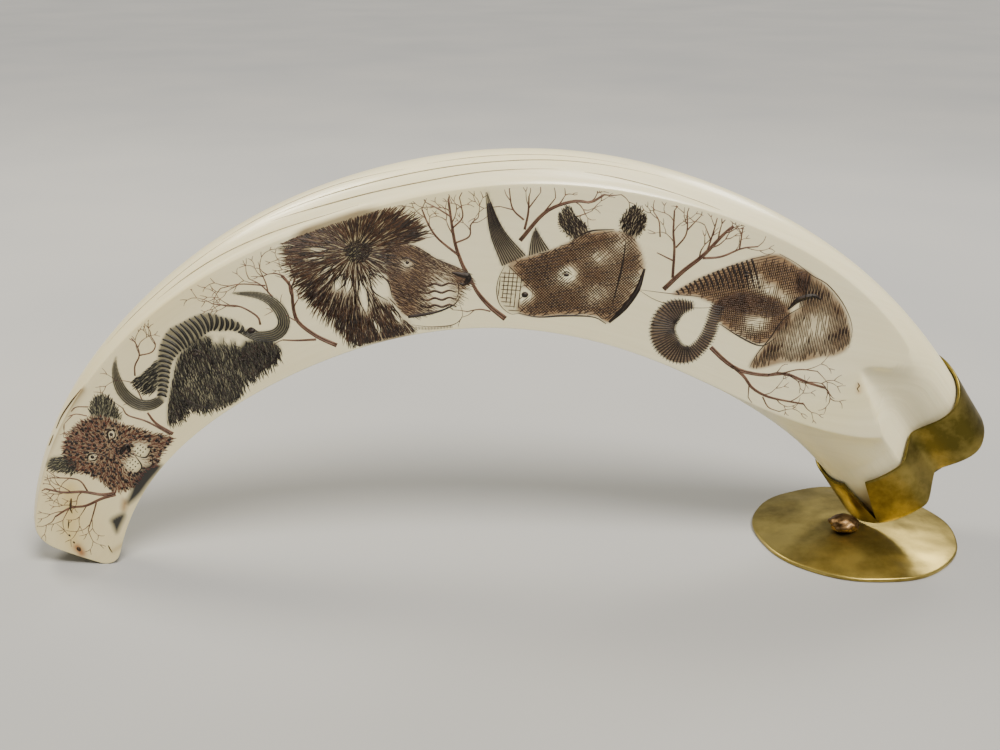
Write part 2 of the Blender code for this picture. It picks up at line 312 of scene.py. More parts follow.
def tusk_place(points):
    """Distance along the tusk and height across it of (x, z) points seen from the front.

    The nearest of many steps of the centre line is found, and the rest of the way is measured
    along and across its heading there.
    """
    pitch = math.radians(SEAT_PITCH)
    across, up = points[..., 0].ravel() - ORIGIN[0], points[..., 1].ravel() - ORIGIN[2]
    x = across * math.cos(pitch) + up * math.sin(pitch)
    z = up * math.cos(pitch) - across * math.sin(pitch)
    steps = np.linspace(0, CAP_START + CAP_LENGTH, CENTRE_STEPS + 1)
    line_x, line_z, heading = centre_line(steps)
    nearest = np.empty(len(x), int)
    for start in range(0, len(x), BATCH):
        part = slice(start, start + BATCH)
        gap = (x[part, None] - line_x) ** 2 + (z[part, None] - line_z) ** 2
        nearest[part] = gap.argmin(axis=1)
    gap_x, gap_z = x - line_x[nearest], z - line_z[nearest]
    cosine, sine = np.cos(heading[nearest]), np.sin(heading[nearest])
    shape = points.shape[:-1]
    along = steps[nearest] + gap_x * cosine + gap_z * sine
    return along.reshape(shape), (gap_z * cosine - gap_x * sine).reshape(shape)


def front_depth_at(along, height):
    """Depth of the uncut oval's front at a height: its equation solved for the angle, then for depth."""
    width = through(HALF_WIDTHS, along / ARC_LENGTH)
    across = np.clip(np.abs(height) / width, 0, 1) ** (SQUARENESS / 2)
    return section(along, -np.arccos(np.sign(height) * across))[1]


def on_face(points, margin=FACE_MARGIN):
    """Whether (x, z) points are on the polished face, a margin in depth away from its border."""
    along, height = tusk_place(points)
    start = along - tip_slant(along) * height
    width = through(HALF_WIDTHS, along / ARC_LENGTH) - tip_inset(start)
    ahead = front_depth_at(along, height) < -margin
    return ahead & (np.abs(height) < width - margin) & (start > TIP_WEAR)


def face_turns(rows):
    """For each row, the angles where the oval passes through the polished face, below and above.

    Rows where it doesn't, inside the cap, keep the angles of the row before.
    """
    turn = np.linspace(math.pi / 2, math.pi * 5 / 2, TURN_STEPS + 1)
    lower, upper = [], []
    for along, slant, share, inset in rows:
        place = oblique(along, turn, slant, share, inset)
        ahead = np.nonzero(section(place, turn, inset)[1] < 0)[0]
        if len(ahead):
            lower.append(turn[ahead[0]])
            upper.append(turn[ahead[-1]])
        else:
            lower.append(lower[-1])
            upper.append(upper[-1])
    smooth = np.ones(BORDER_SMOOTHING) / BORDER_SMOOTHING
    return [np.convolve(np.pad(side, BORDER_SMOOTHING // 2, mode="edge"), smooth, mode="valid")
            for side in (lower, upper)]


def tusk_grid():
    """Rows of points from the tip to the root: places along, angles, heights and depths.

    Each row is an oblique section, pressed back behind the face's plane, which rounds its edge.
    """
    end = CAP_START + CAP_LENGTH - SHEET - CAP_CLEARANCE
    angle = np.linspace(0, math.pi / 2, TIP_ROWS)
    tip = TIP_WEAR + TIP_ROUND * (1 - np.cos(angle))
    along = np.concatenate([tip, np.linspace(tip[-1], end, BODY_ROWS)[1:]])
    share = np.maximum(1 - np.maximum(CAP_START - along, 0) / ROOT_SKEW_RUN, 0)
    rows = np.stack([along, tip_slant(along), share, tip_inset(along)], axis=1)
    lower, upper = face_turns(rows)
    front = np.linspace(0, 1, FACE_COLUMNS + 1)[:-1]
    behind = np.linspace(0, 1, BACK_COLUMNS + 1)[:-1]
    turn = np.concatenate([
        lower[:, None] + (upper - lower)[:, None] * front,
        upper[:, None] + (lower + 2 * math.pi - upper)[:, None] * behind,
    ], axis=1)
    along, slant, share, inset = [column[:, None] for column in rows.T]
    place = oblique(along, turn, slant, share, inset)
    height, depth = section(place, turn, inset)
    return place, turn, height, behind_face(depth)


def grid_faces(rows, columns, wrap):
    """Quads of a grid of points, joined round from the last column to the first where it wraps."""
    across = np.arange(columns if wrap else columns - 1)
    row, column = np.meshgrid(np.arange(rows - 1), across, indexing="ij")
    after = (column + 1) % columns
    quads = [row * columns + column, row * columns + after, (row + 1) * columns + after,
             (row + 1) * columns + column]
    return np.stack(quads, axis=-1).reshape(-1, 4)


def capped(points):
    """Points and faces of rows that wrap round, closed at both ends by a fan to a middle point."""
    rows, columns = points.shape[:2]
    middles = [points[0].mean(axis=0), points[-1].mean(axis=0)]
    everything = np.concatenate([points.reshape(-1, 3), middles])
    column = np.arange(columns)
    after = (column + 1) % columns
    first, last = np.full(columns, rows * columns), np.full(columns, rows * columns + 1)
    end = (rows - 1) * columns
    fans = np.concatenate([np.stack([first, after, column], axis=1),
                           np.stack([last, end + column, end + after], axis=1)])
    return everything, [grid_faces(rows, columns, True), fans]


def new_mesh(name, points, groups):
    """Mesh of points in millimetres and of arrays of faces, one array for each number of corners."""
    mesh = bpy.data.meshes.new(name)
    mesh.vertices.add(len(points))
    mesh.vertices.foreach_set("co", (np.asarray(points) * MM).astype(np.float32).ravel())
    loops = np.concatenate([group.ravel() for group in groups]).astype(np.int32)
    sizes = np.concatenate([np.full(len(group), group.shape[1]) for group in groups])
    mesh.loops.add(len(loops))
    mesh.loops.foreach_set("vertex_index", loops)
    mesh.polygons.add(len(sizes))
    starts = np.concatenate([[0], np.cumsum(sizes)[:-1]]).astype(np.int32)
    mesh.polygons.foreach_set("loop_start", starts)
    mesh.update(calc_edges=True)
    return mesh


def enclosed(mesh):
    """Six times the volume inside a mesh: the sum of each triangle's triple product."""
    mesh.calc_loop_triangles()
    corners = np.empty(len(mesh.loop_triangles) * 3, np.int32)
    mesh.loop_triangles.foreach_get("vertices", corners)
    points = np.empty(len(mesh.vertices) * 3, np.float32)
    mesh.vertices.foreach_get("co", points)
    a, b, c = points.reshape(-1, 3)[corners.reshape(-1, 3)].transpose(1, 0, 2).astype(float)
    return (a * np.cross(b, c)).sum()


def new_piece(name, mesh, material, stands_for=(), smooth=True):
    """Object of a closed mesh, faces outwards, with its finish, riding on the body."""
    if enclosed(mesh) < 0:
        mesh.flip_normals()
    mesh.materials.append(material)
    if smooth:
        mesh.shade_smooth()
    piece = bpy.data.objects.new(name, mesh)
    bpy.context.scene.collection.objects.link(piece)
    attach(piece, "root")
    for node in stands_for:
        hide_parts(node)
    return piece


def point_attribute(mesh, name, kind, values):
    """Attribute of the points of a mesh: a colour or a vector each."""
    made = mesh.attributes.new(name, kind, "POINT")
    key = "color" if kind == "FLOAT_COLOR" else "vector"
    made.data.foreach_set(key, np.asarray(values, np.float32).ravel())


def ivory_material():
    """Polished tusk ivory: dense and waxy, cream with faint streaks along the tusk, a soft gloss
    from buffing, and light that goes a little way in. The natural surface keeps fine ridges."""
    material, shader = new_material(
        "polished_ivory", Roughness=0.30, IOR=1.54, Subsurface_Weight=0.10, Subsurface_Scale=0.0015,
        Coat_Weight=0.20, Coat_Roughness=0.12,
    )
    shader.inputs["Subsurface Radius"].default_value = (1.0, 0.75, 0.45)
    # Streaks about 40 mm long and 2 mm apart.
    along = add_node(material, "ShaderNodeAttribute", attribute_name="lengthwise")
    stretch = add_node(material, "ShaderNodeMapping", {"Scale": (25.0, 450.0, 1.0)},
                       {"Vector": along.outputs["Vector"]})
    streaks = add_node(material, "ShaderNodeTexNoise", {"Scale": 1.0, "Detail": 5.0, "Roughness": 0.6},
                       {"Vector": stretch.outputs["Vector"]})
    place = add_node(material, "ShaderNodeTexCoord")
    clouds = add_node(material, "ShaderNodeTexNoise", {"Scale": 28.0, "Detail": 3.0},
                      {"Vector": place.outputs["Object"]})
    streaked = two_colours(material, streaks.outputs["Fac"], (0.25, "eae2c0"), (0.70, "f8f2d4"))
    warm = add_node(material, "ShaderNodeMix", {"B": linear("f5ebbe")},
                    {"Factor": clouds.outputs["Fac"], "A": streaked}, data_type="RGBA")
    # The colour attribute multiplies in the ink washes, the stains and the painted shade inside the cap.
    stain_and_shade = add_node(material, "ShaderNodeAttribute", attribute_name="stain_and_shade")
    inked_and_shaded = add_node(material, "ShaderNodeMix", {"Factor": 1.0},
                     {"A": warm.outputs["Result"], "B": stain_and_shade.outputs["Color"]},
                     data_type="RGBA", blend_type="MULTIPLY")
    join(material, inked_and_shaded.outputs["Result"], shader, "Base Color")
    natural = add_node(material, "ShaderNodeMath", {0: NATURAL_BUMP}, {1: stain_and_shade.outputs["Alpha"]},
                       operation="MULTIPLY")
    bump = add_node(material, "ShaderNodeBump", {"Distance": 0.0003},
                    {"Height": streaks.outputs["Fac"], "Strength": natural.outputs["Value"]})
    join(material, bump.outputs["Normal"], shader, "Normal")
    return material


def ink_material(name, dark, faded):
    """Ink rubbed into engraved lines: matt, and thinner in small clouds where polishing took it."""
    material, shader = new_material(name, Roughness=0.55, IOR=1.5)
    place = add_node(material, "ShaderNodeTexCoord")
    clouds = add_node(material, "ShaderNodeTexNoise", {"Scale": 1 / (3.0 * MM), "Detail": 3.0},
                      {"Vector": place.outputs["Object"]})
    join(material, two_colours(material, clouds.outputs["Fac"], (0.38, dark), (0.72, faded)), shader,
         "Base Color")
    return material


def brass_material(name, bright, tarnish, roughness, patches, cover):
    """Sheet brass with a thin olive tarnish in cloudy patches, which also dull its gloss.

    Patches are a size in millimetres, and cover is where the tarnish starts and is full.
    """
    material, shader = new_material(name, Metallic=1.0)
    place = add_node(material, "ShaderNodeTexCoord")
    clouds = add_node(material, "ShaderNodeTexNoise",
                      {"Scale": 1 / (patches * MM), "Detail": 6.0, "Roughness": 0.62},
                      {"Vector": place.outputs["Object"]})
    join(material, two_colours(material, clouds.outputs["Fac"], (cover[0], bright), (cover[1], tarnish)),
         shader, "Base Color")
    dull = add_node(material, "ShaderNodeMapRange",
                    {"To Min": roughness - GLOSS_SPREAD, "To Max": roughness + 2 * GLOSS_SPREAD},
                    {"Value": clouds.outputs["Fac"]})
    join(material, dull.outputs["Result"], shader, "Roughness")
    # Fine scratches and grain of old hand polish, half a millimetre across.
    grain = add_node(material, "ShaderNodeTexNoise", {"Scale": 1 / (0.5 * MM), "Detail": 4.0},
                     {"Vector": place.outputs["Object"]})
    bump = add_node(material, "ShaderNodeBump", {"Strength": 0.05, "Distance": 0.0002},
                    {"Height": grain.outputs["Fac"]})
    join(material, bump.outputs["Normal"], shader, "Normal")
    return material


def curve(points, count, closed=False):
    """Smooth curve through points (Catmull-Rom), given back at even distances."""
    p = np.asarray(points, float)
    if closed:
        p = np.concatenate([p[-1:], p, p[:2]])
    else:
        p = np.concatenate([2 * p[:1] - p[1:2], p, 2 * p[-1:] - p[-2:-1]])
    t = np.linspace(0, 1, 9)[:-1, None]
    fine = []
    for a, b, c, d in zip(p, p[1:], p[2:], p[3:]):
        fine.append(0.5 * (2 * b + (c - a) * t + (2 * a - 5 * b + 4 * c - d) * t**2
                           + (3 * b - a - 3 * c + d) * t**3))
    fine = np.concatenate(fine + [p[-2:-1]])
    run = np.concatenate([[0], np.cumsum(np.linalg.norm(np.diff(fine, axis=0), axis=1))])
    at = np.linspace(0, run[-1], count)
    return np.stack([np.interp(at, run, column) for column in fine.T], axis=1)


def outline_of(points, count=80):
    """Closed smooth outline through points."""
    return curve(points, count, closed=True)


def inside(points, outline):
    """Whether points lie in a closed outline: an odd number of its sides is crossed."""
    x, z = points[..., 0, None], points[..., 1, None]
    x0, z0 = outline[:, 0], outline[:, 1]
    x1, z1 = np.roll(x0, -1), np.roll(z0, -1)
    rise = np.where(z1 == z0, 1.0, z1 - z0)
    crossed = ((z0 > z) != (z1 > z)) & (x < (x1 - x0) * (z - z0) / rise + x0)
    return crossed.sum(axis=-1) % 2 == 1


def edge_distance(points, outline):
    """Distance from points to a closed outline: the nearest foot on any of its sides."""
    start, step = outline, np.roll(outline, -1, axis=0) - outline
    gap = points[..., None, :] - start
    share = np.clip((gap * step).sum(-1) / np.maximum((step**2).sum(-1), 1e-9), 0, 1)
    return np.sqrt(((gap - share[..., None] * step) ** 2).sum(-1).min(-1))


def pen(points, width, profile=TAPERED, count=22):
    """One stroke along a smooth curve, its width swelling and thinning by the profile."""
    share = np.linspace(0, 1, count)
    half = np.interp(share, np.linspace(0, 1, len(profile)), profile) * width / 2
    return curve(points, count)[None], half[None]


def each(value, many):
    """One number for each of many strokes."""
    return np.broadcast_to(value, (many,)).astype(float)[:, None]


def hairs(roots, angle, length, width, bend=0.0, steps=5):
    """Many short strokes: each leaves its root at an angle, in radians, and bends evenly."""
    many = len(roots)
    share = np.linspace(0, 1, steps)
    heading = each(angle, many) + each(bend, many) * share[None, :-1]
    step = each(length, many) / (steps - 1)
    start = np.zeros((many, 1))
    x = roots[:, :1] + np.concatenate([start, np.cumsum(np.cos(heading) * step, axis=1)], axis=1)
    z = roots[:, 1:] + np.concatenate([start, np.cumsum(np.sin(heading) * step, axis=1)], axis=1)
    taper = np.interp(share, (0, 0.3, 0.7, 1), (0.45, 1.0, 0.75, 0.12))
    return np.stack([x, z], axis=-1), each(width, many) / 2 * taper


def dots(centres, length, width, angle=0.0):
    """Small oval spots: short strokes whose width follows a half circle."""
    many, share = len(centres), np.linspace(-1, 1, 7)
    run = each(length, many) / 2 * share
    x = centres[:, :1] + run * np.cos(each(angle, many))
    z = centres[:, 1:] + run * np.sin(each(angle, many))
    return np.stack([x, z], axis=-1), each(width, many) / 2 * np.sqrt(np.maximum(1 - share**2, 0.02))


def scatter(outline, gap, jitter=0.45):
    """Points in an outline on a grid with every second row set over, each moved a little."""
    low, high = outline.min(axis=0), outline.max(axis=0)
    x, z = np.meshgrid(np.arange(low[0], high[0], gap), np.arange(low[1], high[1], gap * 0.87))
    x = x + gap / 2 * (np.arange(len(x)) % 2)[:, None]
    points = np.stack([x.ravel(), z.ravel()], axis=1)
    points += CHANCE.uniform(-jitter, jitter, points.shape) * gap
    return points[inside(points, outline)]


def shade(points, base, patches):
    """Darkness from 0 to 1: a base and soft round patches (x, z, radius, amount)."""
    tone = np.full(points.shape[:-1], float(base))
    for x, z, radius, amount in patches:
        tone += amount * np.exp(-((points[..., 0] - x) ** 2 + (points[..., 1] - z) ** 2) / radius**2)
    return np.clip(tone, 0, 1)


def turned(points, centre, angle):
    """Points of a figure's own frame, turned by an angle in degrees and set at its centre."""
    a = math.radians(angle)
    p = np.asarray(points, float)
    return np.stack([centre[0] + p[..., 0] * math.cos(a) - p[..., 1] * math.sin(a),
                     centre[1] + p[..., 0] * math.sin(a) + p[..., 1] * math.cos(a)], axis=-1)


def away_from(centre):
    """Function that gives the direction, in radians, from a centre to points."""
    return lambda p: np.arctan2(p[:, 1] - centre[1], p[:, 0] - centre[0])


def always(angle):
    """Function that gives every point the same direction, in degrees."""
    return lambda p: np.full(len(p), math.radians(angle))


def sideways(path):
    """Unit arrows across a line of points, to its left."""
    step = np.gradient(path, axis=-2)
    across = np.stack([-step[..., 1], step[..., 0]], axis=-1)
    return across / np.maximum(np.hypot(step[..., 0], step[..., 1]), 1e-9)[..., None]


def strip(path, half):
    """Closed outline of a strip along a line of points, with a half width at each."""
    across = sideways(path) * half[:, None]
    return np.concatenate([path + across, (path - across)[::-1]])


def oval(centre, length, width, angle, count=40):
    """Closed oval outline with its length at an angle in degrees."""
    turn = np.linspace(0, 2 * math.pi, count + 1)[:-1]
    return turned(np.stack([length / 2 * np.cos(turn), width / 2 * np.sin(turn)], axis=1), centre, angle)


def fur(outline, gap, aim, length, width, base, patches, spread=0.18, bend=0.0):
    """Hair strokes that fill an outline: aim gives their angle at a point, shade their strength."""
    roots = scatter(outline, gap)
    tone = shade(roots, base, patches)
    stays = CHANCE.random(len(roots)) < np.minimum(tone * 1.5, 1)
    roots, tone = roots[stays], tone[stays]
    angle = aim(roots) + CHANCE.normal(0, spread, len(roots))
    size = length * CHANCE.uniform(0.7, 1.25, len(roots))
    return hairs(roots, angle, size, width * (0.55 + 0.6 * tone), bend)


def hatched(outline, gap, angle, width, base, patches, dash=3.2):
    """Even parallel lines at an angle, in overlapping dashes, across an outline."""
    a = math.radians(angle)
    middle = outline.mean(axis=0)
    reach = np.abs(outline - middle).max() * 1.5
    u, v = np.meshgrid(np.arange(-reach, reach, dash * 0.7), np.arange(-reach, reach, gap))
    u = u + CHANCE.uniform(-0.5, 0.5, (len(u), 1)) * dash
    x, z = u * math.cos(a) - v * math.sin(a), u * math.sin(a) + v * math.cos(a)
    roots = np.stack([x.ravel(), z.ravel()], axis=1) + middle
    roots = roots[inside(roots, outline)]
    tone = shade(roots, base, patches)
    stays = CHANCE.random(len(roots)) < np.minimum(tone * 1.6, 1)
    roots, tone = roots[stays], tone[stays]
    points, half = hairs(roots, a, dash, width * (0.5 + 0.7 * tone), 0.0)
    ends = inside(points[:, -1], outline)
    return points[ends], half[ends]


LION_EAR = np.array((-42.0, 92.0))


def lion():
    """Lion's head in profile to the right: a mane that rays out from the ear, and a smooth face."""
    ear = LION_EAR
    mane = outline_of(ear + [
        (-17, 0), (-15.5, 5), (-11, 9), (-4, 11.5), (4, 12), (11, 10), (16, 6.5), (16.5, 3), (11.5, 2.2),
        (8.5, -1.5), (8.5, -9), (10, -16), (14.5, -21), (13.5, -24.5), (6, -26), (0, -25.5), (-4.5, -20.5),
        (-9, -15.5), (-13, -10.5), (-15.5, -5.5)], 90)
    face = outline_of(ear + [
        (8.5, 1), (12, 2.2), (16.5, 1.2), (21, -1.8), (26, -4), (30, -6.2), (30.6, -8.4), (28.6, -11),
        (27.5, -14.2), (22, -16.2), (14, -18.2), (10.5, -15), (8.5, -8)], 70)
    chin = outline_of(ear + [
        (14, -18.6), (21, -17.2), (26.6, -15.6), (27.6, -18.4), (25.5, -20.4), (20, -21), (15, -20.6)], 40)
    inner_ear = outline_of(ear + [(-3.2, 0), (0, 2.8), (3.6, 1.0), (2.8, -2.4), (-0.5, -3.4)], 24)
    ray = away_from(ear)
    # Pale locks fall from the ear: direction, distances of their start and end, and half width.
    falls = ((-56, 6.5, 16, 2.4), (-82, 7.5, 17, 1.4), (-103, 6.5, 11.5, 1.0), (-118, 6.5, 12, 1.3),
             (-60, 18, 23, 0.9), (-76, 18.5, 23.5, 0.9), (175, 7, 12, 0.8), (-172, 8, 13, 0.6),
             (-148, 6.5, 12, 0.6), (-135, 8, 14, 0.7))
    locks, edges = [], []
    for angle, start, stop, half in falls:
        places = turned([(r, 0) for r in np.linspace(start + half, stop - half, 5)], ear, angle)
        locks += [(x, z, half * 0.8, -0.7) for x, z in places]
        sides = [[(start, 0), ((start + stop) / 2, side * half), (stop, side * half * 0.3)]
                 for side in (-1, 1)]
        edges += [pen(turned(side, ear, angle), 0.42, (0.4, 1.0, 0.3)) for side in sides]
    dark = [(ear[0] + x, ear[1] + z, size, amount) for x, z, size, amount in (
        (-13, 3, 5, 0.25), (13, 5, 4, 0.45), (-3, -20, 5, 0.35), (8, -22, 4, 0.25), (2, 7, 5, 0.2),
        (-10, -10, 4, 0.3))]
    inks = [("sepia", fur(mane, 0.60, ray, 4.0, 0.25, 0.60, dark + locks, 0.10, 0.12)),
            ("dark", fur(mane, 1.00, ray, 3.2, 0.30, 0.32, dark + locks, 0.12, 0.10))]
    inks += [("dark", edge) for edge in edges]
    beside_face = (mane[:, 0] > ear[0] + 8) & (mane[:, 1] < ear[1] + 2.5)
    rim = mane[(np.hypot(*(mane - ear).T) > 11) & ~beside_face]
    rim = np.concatenate([rim + CHANCE.normal(0, 0.5, rim.shape) for _ in range(3)])
    inks.append(("sepia", hairs(rim - 0.12 * (rim - ear), ray(rim) + CHANCE.normal(0, 0.08, len(rim)),
                                CHANCE.uniform(1.8, 3.8, len(rim)), 0.20)))
    face_dark = [(ear[0] + x, ear[1] + z, size, amount) for x, z, size, amount in (
        (12, -12.5, 4, 0.5), (14.5, -0.5, 4, 0.3), (28.5, -8, 2, 0.5), (17, -8, 3, 0.25),
        (22.5, -12, 4.6, -0.85), (13.5, -3.2, 1.6, -0.8))]
    inks.append(("sepia", fur(face, 0.50, always(-28), 1.9, 0.20, 0.58, face_dark, 0.14)))
    for row in range(4):
        bar = [ear + (17 + 1.96 * k, -9.4 - 2.0 * row + 0.04 * k + 0.3 * (-1) ** k) for k in range(6)]
        inks.append(("sepia", pen(bar, 0.62, (0.6, 1.0, 1.0, 0.5))))
    for ink, path, width, profile in (
        ("dark", [(13.6, -18.3), (17.5, -17.7), (22, -16.8), (26.2, -14.9), (27.8, -12.6)], 0.8,
         (1.0, 1.1, 0.8, 0.5, 0.2)),
        ("sepia", [(27.6, -14.6), (28.4, -18.0), (26.0, -20.6), (20, -21.2), (14.6, -20.6)], 0.26, TAPERED),
        ("dark", [(25.6, -6.0), (28.0, -6.6), (30.2, -7.2), (29.0, -9.2), (27.6, -9.0)], 1.4,
         (0.3, 0.9, 1.2, 0.9, 0.3)),
        ("sepia", [(12, 2.3), (16.5, 1.2), (21, -1.9), (26, -4.1), (30, -6.2), (30.6, -8.4)], 0.32, TAPERED),
        ("sepia", [(25.4, -6.8), (27.2, -8.8), (27.4, -11.5), (26.6, -13.6)], 0.3, TAPERED),
        ("dark", [(12.0, -2.3), (13.4, -1.7), (15.0, -2.5), (16.6, -3.6)], 0.42, (0.4, 1, 0.7, 0.3)),
        ("dark", [(12.0, -3.9), (13.6, -4.5), (15.4, -4.0), (16.6, -3.6)], 0.30, TAPERED),
    ):
        inks.append((ink, pen(ear + path, width, profile)))
    inks.append(("dark", dots(ear + np.array([(13.8, -3.1)]), 1.0, 0.9)))
    ticks = curve(ear + [(15.5, -21.0), (20, -21.3), (25.5, -20.8)], 26)
    inks.append(("sepia", hairs(ticks, math.radians(-95), 1.0, 0.2)))
    beard = scatter(outline_of(ear + [(8, -20), (15, -22), (14.5, -25.5), (2, -26.5), (-3, -24)], 30), 0.95)
    inks.append(("dark", hairs(beard, math.radians(-84) + CHANCE.normal(0, 0.2, len(beard)), 2.8, 0.22)))
    tuft = scatter(inner_ear, 0.5)
    inks.append(("dark", hairs(tuft, math.radians(30) + CHANCE.normal(0, 0.3, len(tuft)), 1.5, 0.24)))
    washes = [(mane, (0.22, 0.16, 0.11), 0.92, 1.2, 0.74, dark + locks),
              (face, (0.26, 0.16, 0.10), 0.95, 0.5, 0.86, face_dark),
              (chin, (0.90, 0.92, 0.90), 0.6, 0.4, 1.0, []),
              (inner_ear, (0.34, 0.36, 0.31), 0.85, 0.6, 1.0, [])]
    return inks, washes


RHINO_EYE = np.array((14.5, 85.0))


def rhino():
    """Rhinoceros head looking left: two horns, a cross-hatched hide and a netted muzzle."""
    eye = RHINO_EYE
    head = outline_of([
        (-1.5, 88.5), (4.5, 90.5), (10, 92), (15, 94.2), (20.5, 96.8), (27, 97.2), (32.5, 95), (35, 90),
        (35.6, 85.5), (33, 79.5), (29.5, 74.5), (26, 71.2), (22.5, 73.2), (14, 73.6), (6, 73.2), (1.5, 74.6),
        (1.2, 78), (2.6, 83)], 90)
    muzzle = outline_of([(-2.0, 88.2), (-3.8, 84), (-4.2, 80), (-3.2, 76.6), (-0.6, 74.4), (2.2, 74.8),
                         (2.0, 79), (3.0, 85)], 40)
    dark = [(12, 90.5, 4.5, 0.45), (22, 94.5, 4, 0.35), (6, 86, 5, 0.45), (14, 76, 6, 0.30), (26, 74, 4, 0.4),
            (22, 84.5, 3.5, 0.30), (31, 88, 3, 0.25), (5, 76, 4, 0.25), (eye[0], eye[1], 1.9, -2.4),
            (3.1, 79.4, 1.9, -2.0), (23, 90.0, 2.6, -0.55), (28.5, 92.5, 2.2, -0.4), (10.0, 84.0, 2.6, -0.25),
            (22.5, 79.5, 3.0, -0.40), (33.6, 84, 1.6, -0.5)]
    inks = [("sepia", hatched(head, 0.56, 42, 0.34, 0.74, dark)),
            ("sepia", hatched(head, 0.60, -46, 0.32, 0.62, dark)),
            ("dark", hatched(head, 0.9, 12, 0.30, 0.08, dark)),
            ("sepia", hatched(muzzle, 1.15, 84, 0.24, 1.0, [])),
            ("sepia", hatched(muzzle, 1.15, -4, 0.24, 1.0, []))]
    horn = [curve(side, 30) for side in (((-3.0, 87.6), (-6.2, 97), (-7.3, 108.4)),
                                         ((3.6, 90.6), (-2.6, 98), (-7.1, 108.4)))]
    small = [curve(side, 30) for side in (((4.2, 90.4), (4.8, 94.6), (5.9, 98.4)),
                                          ((9.8, 92.0), (7.6, 95.2), (6.0, 98.4)))]
    for sides, lines in ((horn, 11), (small, 8)):
        for share in np.linspace(0.04, 0.96, lines):
            path = sides[0] * (1 - share) + sides[1] * share
            stop = 30 - int(CHANCE.integers(0, 5))
            inks.append(("dark", pen(path[:stop:4], 0.30, (1.0, 1.1, 0.8, 0.3))))
    ears = [outline_of(points, 40) for points in (
        [(16.2, 94.8), (12.6, 98.4), (12.4, 101), (14.4, 103.4), (16.6, 101.2), (20.2, 97)],
        [(29.4, 96.2), (28.8, 99.8), (31.6, 103.2), (34.4, 101.6), (35.2, 98.4), (32.8, 95)])]
    for outline, aim in zip(ears, (115, 70)):
        middle = outline.mean(axis=0)
        core = [(middle[0], middle[1], 2.0, 0.5)]
        inks.append(("dark", fur(outline, 0.46, always(aim), 1.4, 0.28, 0.60, core)))
        fringe = outline + CHANCE.normal(0, 0.15, outline.shape)
        inks.append(("sepia", hairs(fringe, away_from(middle)(fringe), 0.7, 0.20)))
    for ink, path, width, profile in (
        ("dark", [(35.6, 86.5), (33.8, 80.5), (30.2, 75.2), (26.4, 71.4)], 1.5, (0.4, 1.0, 1.1, 0.5)),
        ("dark", [(30.2, 94.2), (29.6, 88), (28.4, 82), (27.2, 77)], 0.6, TAPERED),
        ("dark", [(15.5, 94.4), (20.5, 97), (27, 97.4)], 0.5, TAPERED),
        ("dark", [(1.4, 74.4), (7, 73.2), (14, 73.5), (22, 73.0), (25.6, 71)], 0.6, TAPERED),
        ("sepia", [(-1.8, 88.4), (-3.9, 84), (-4.3, 80), (-3.3, 76.6), (-0.6, 74.2), (1.8, 74.4)], 0.28,
         TAPERED),
        ("dark", [eye + (-1.5, 0.1), eye + (0, 0.9), eye + (1.6, -0.1)], 0.4, TAPERED),
        ("sepia", [eye + (-1.8, -1.6), eye + (0, -2.3), eye + (1.9, -1.6)], 0.22, TAPERED),
        ("sepia", [(1.8, 80.6), (2.6, 82), (4.4, 82), (5.4, 80.4), (5.0, 78.4)], 0.24, TAPERED),
    ):
        inks.append((ink, pen(path, width, profile)))
    inks += [("dark", dots(eye[None], 1.5, 0.95)), ("dark", dots(np.array([(3.3, 79.6)]), 1.9, 1.7))]
    sepia = (0.30, 0.19, 0.125)
    washes = [(head, sepia, 0.95, 0.5, 0.80, dark), (muzzle, (0.62, 0.60, 0.52), 0.6, 0.4, 1.0, []),
              (np.concatenate([horn[0], horn[1][::-1]]), (0.14, 0.11, 0.08), 0.88, 0.3, 1.0, []),
              (np.concatenate([small[0], small[1][::-1]]), (0.14, 0.11, 0.08), 0.88, 0.3, 1.0, [])]
    washes += [(outline, (0.20, 0.15, 0.11), 0.85, 0.4, 1.0, []) for outline in ears]
    return inks, washes


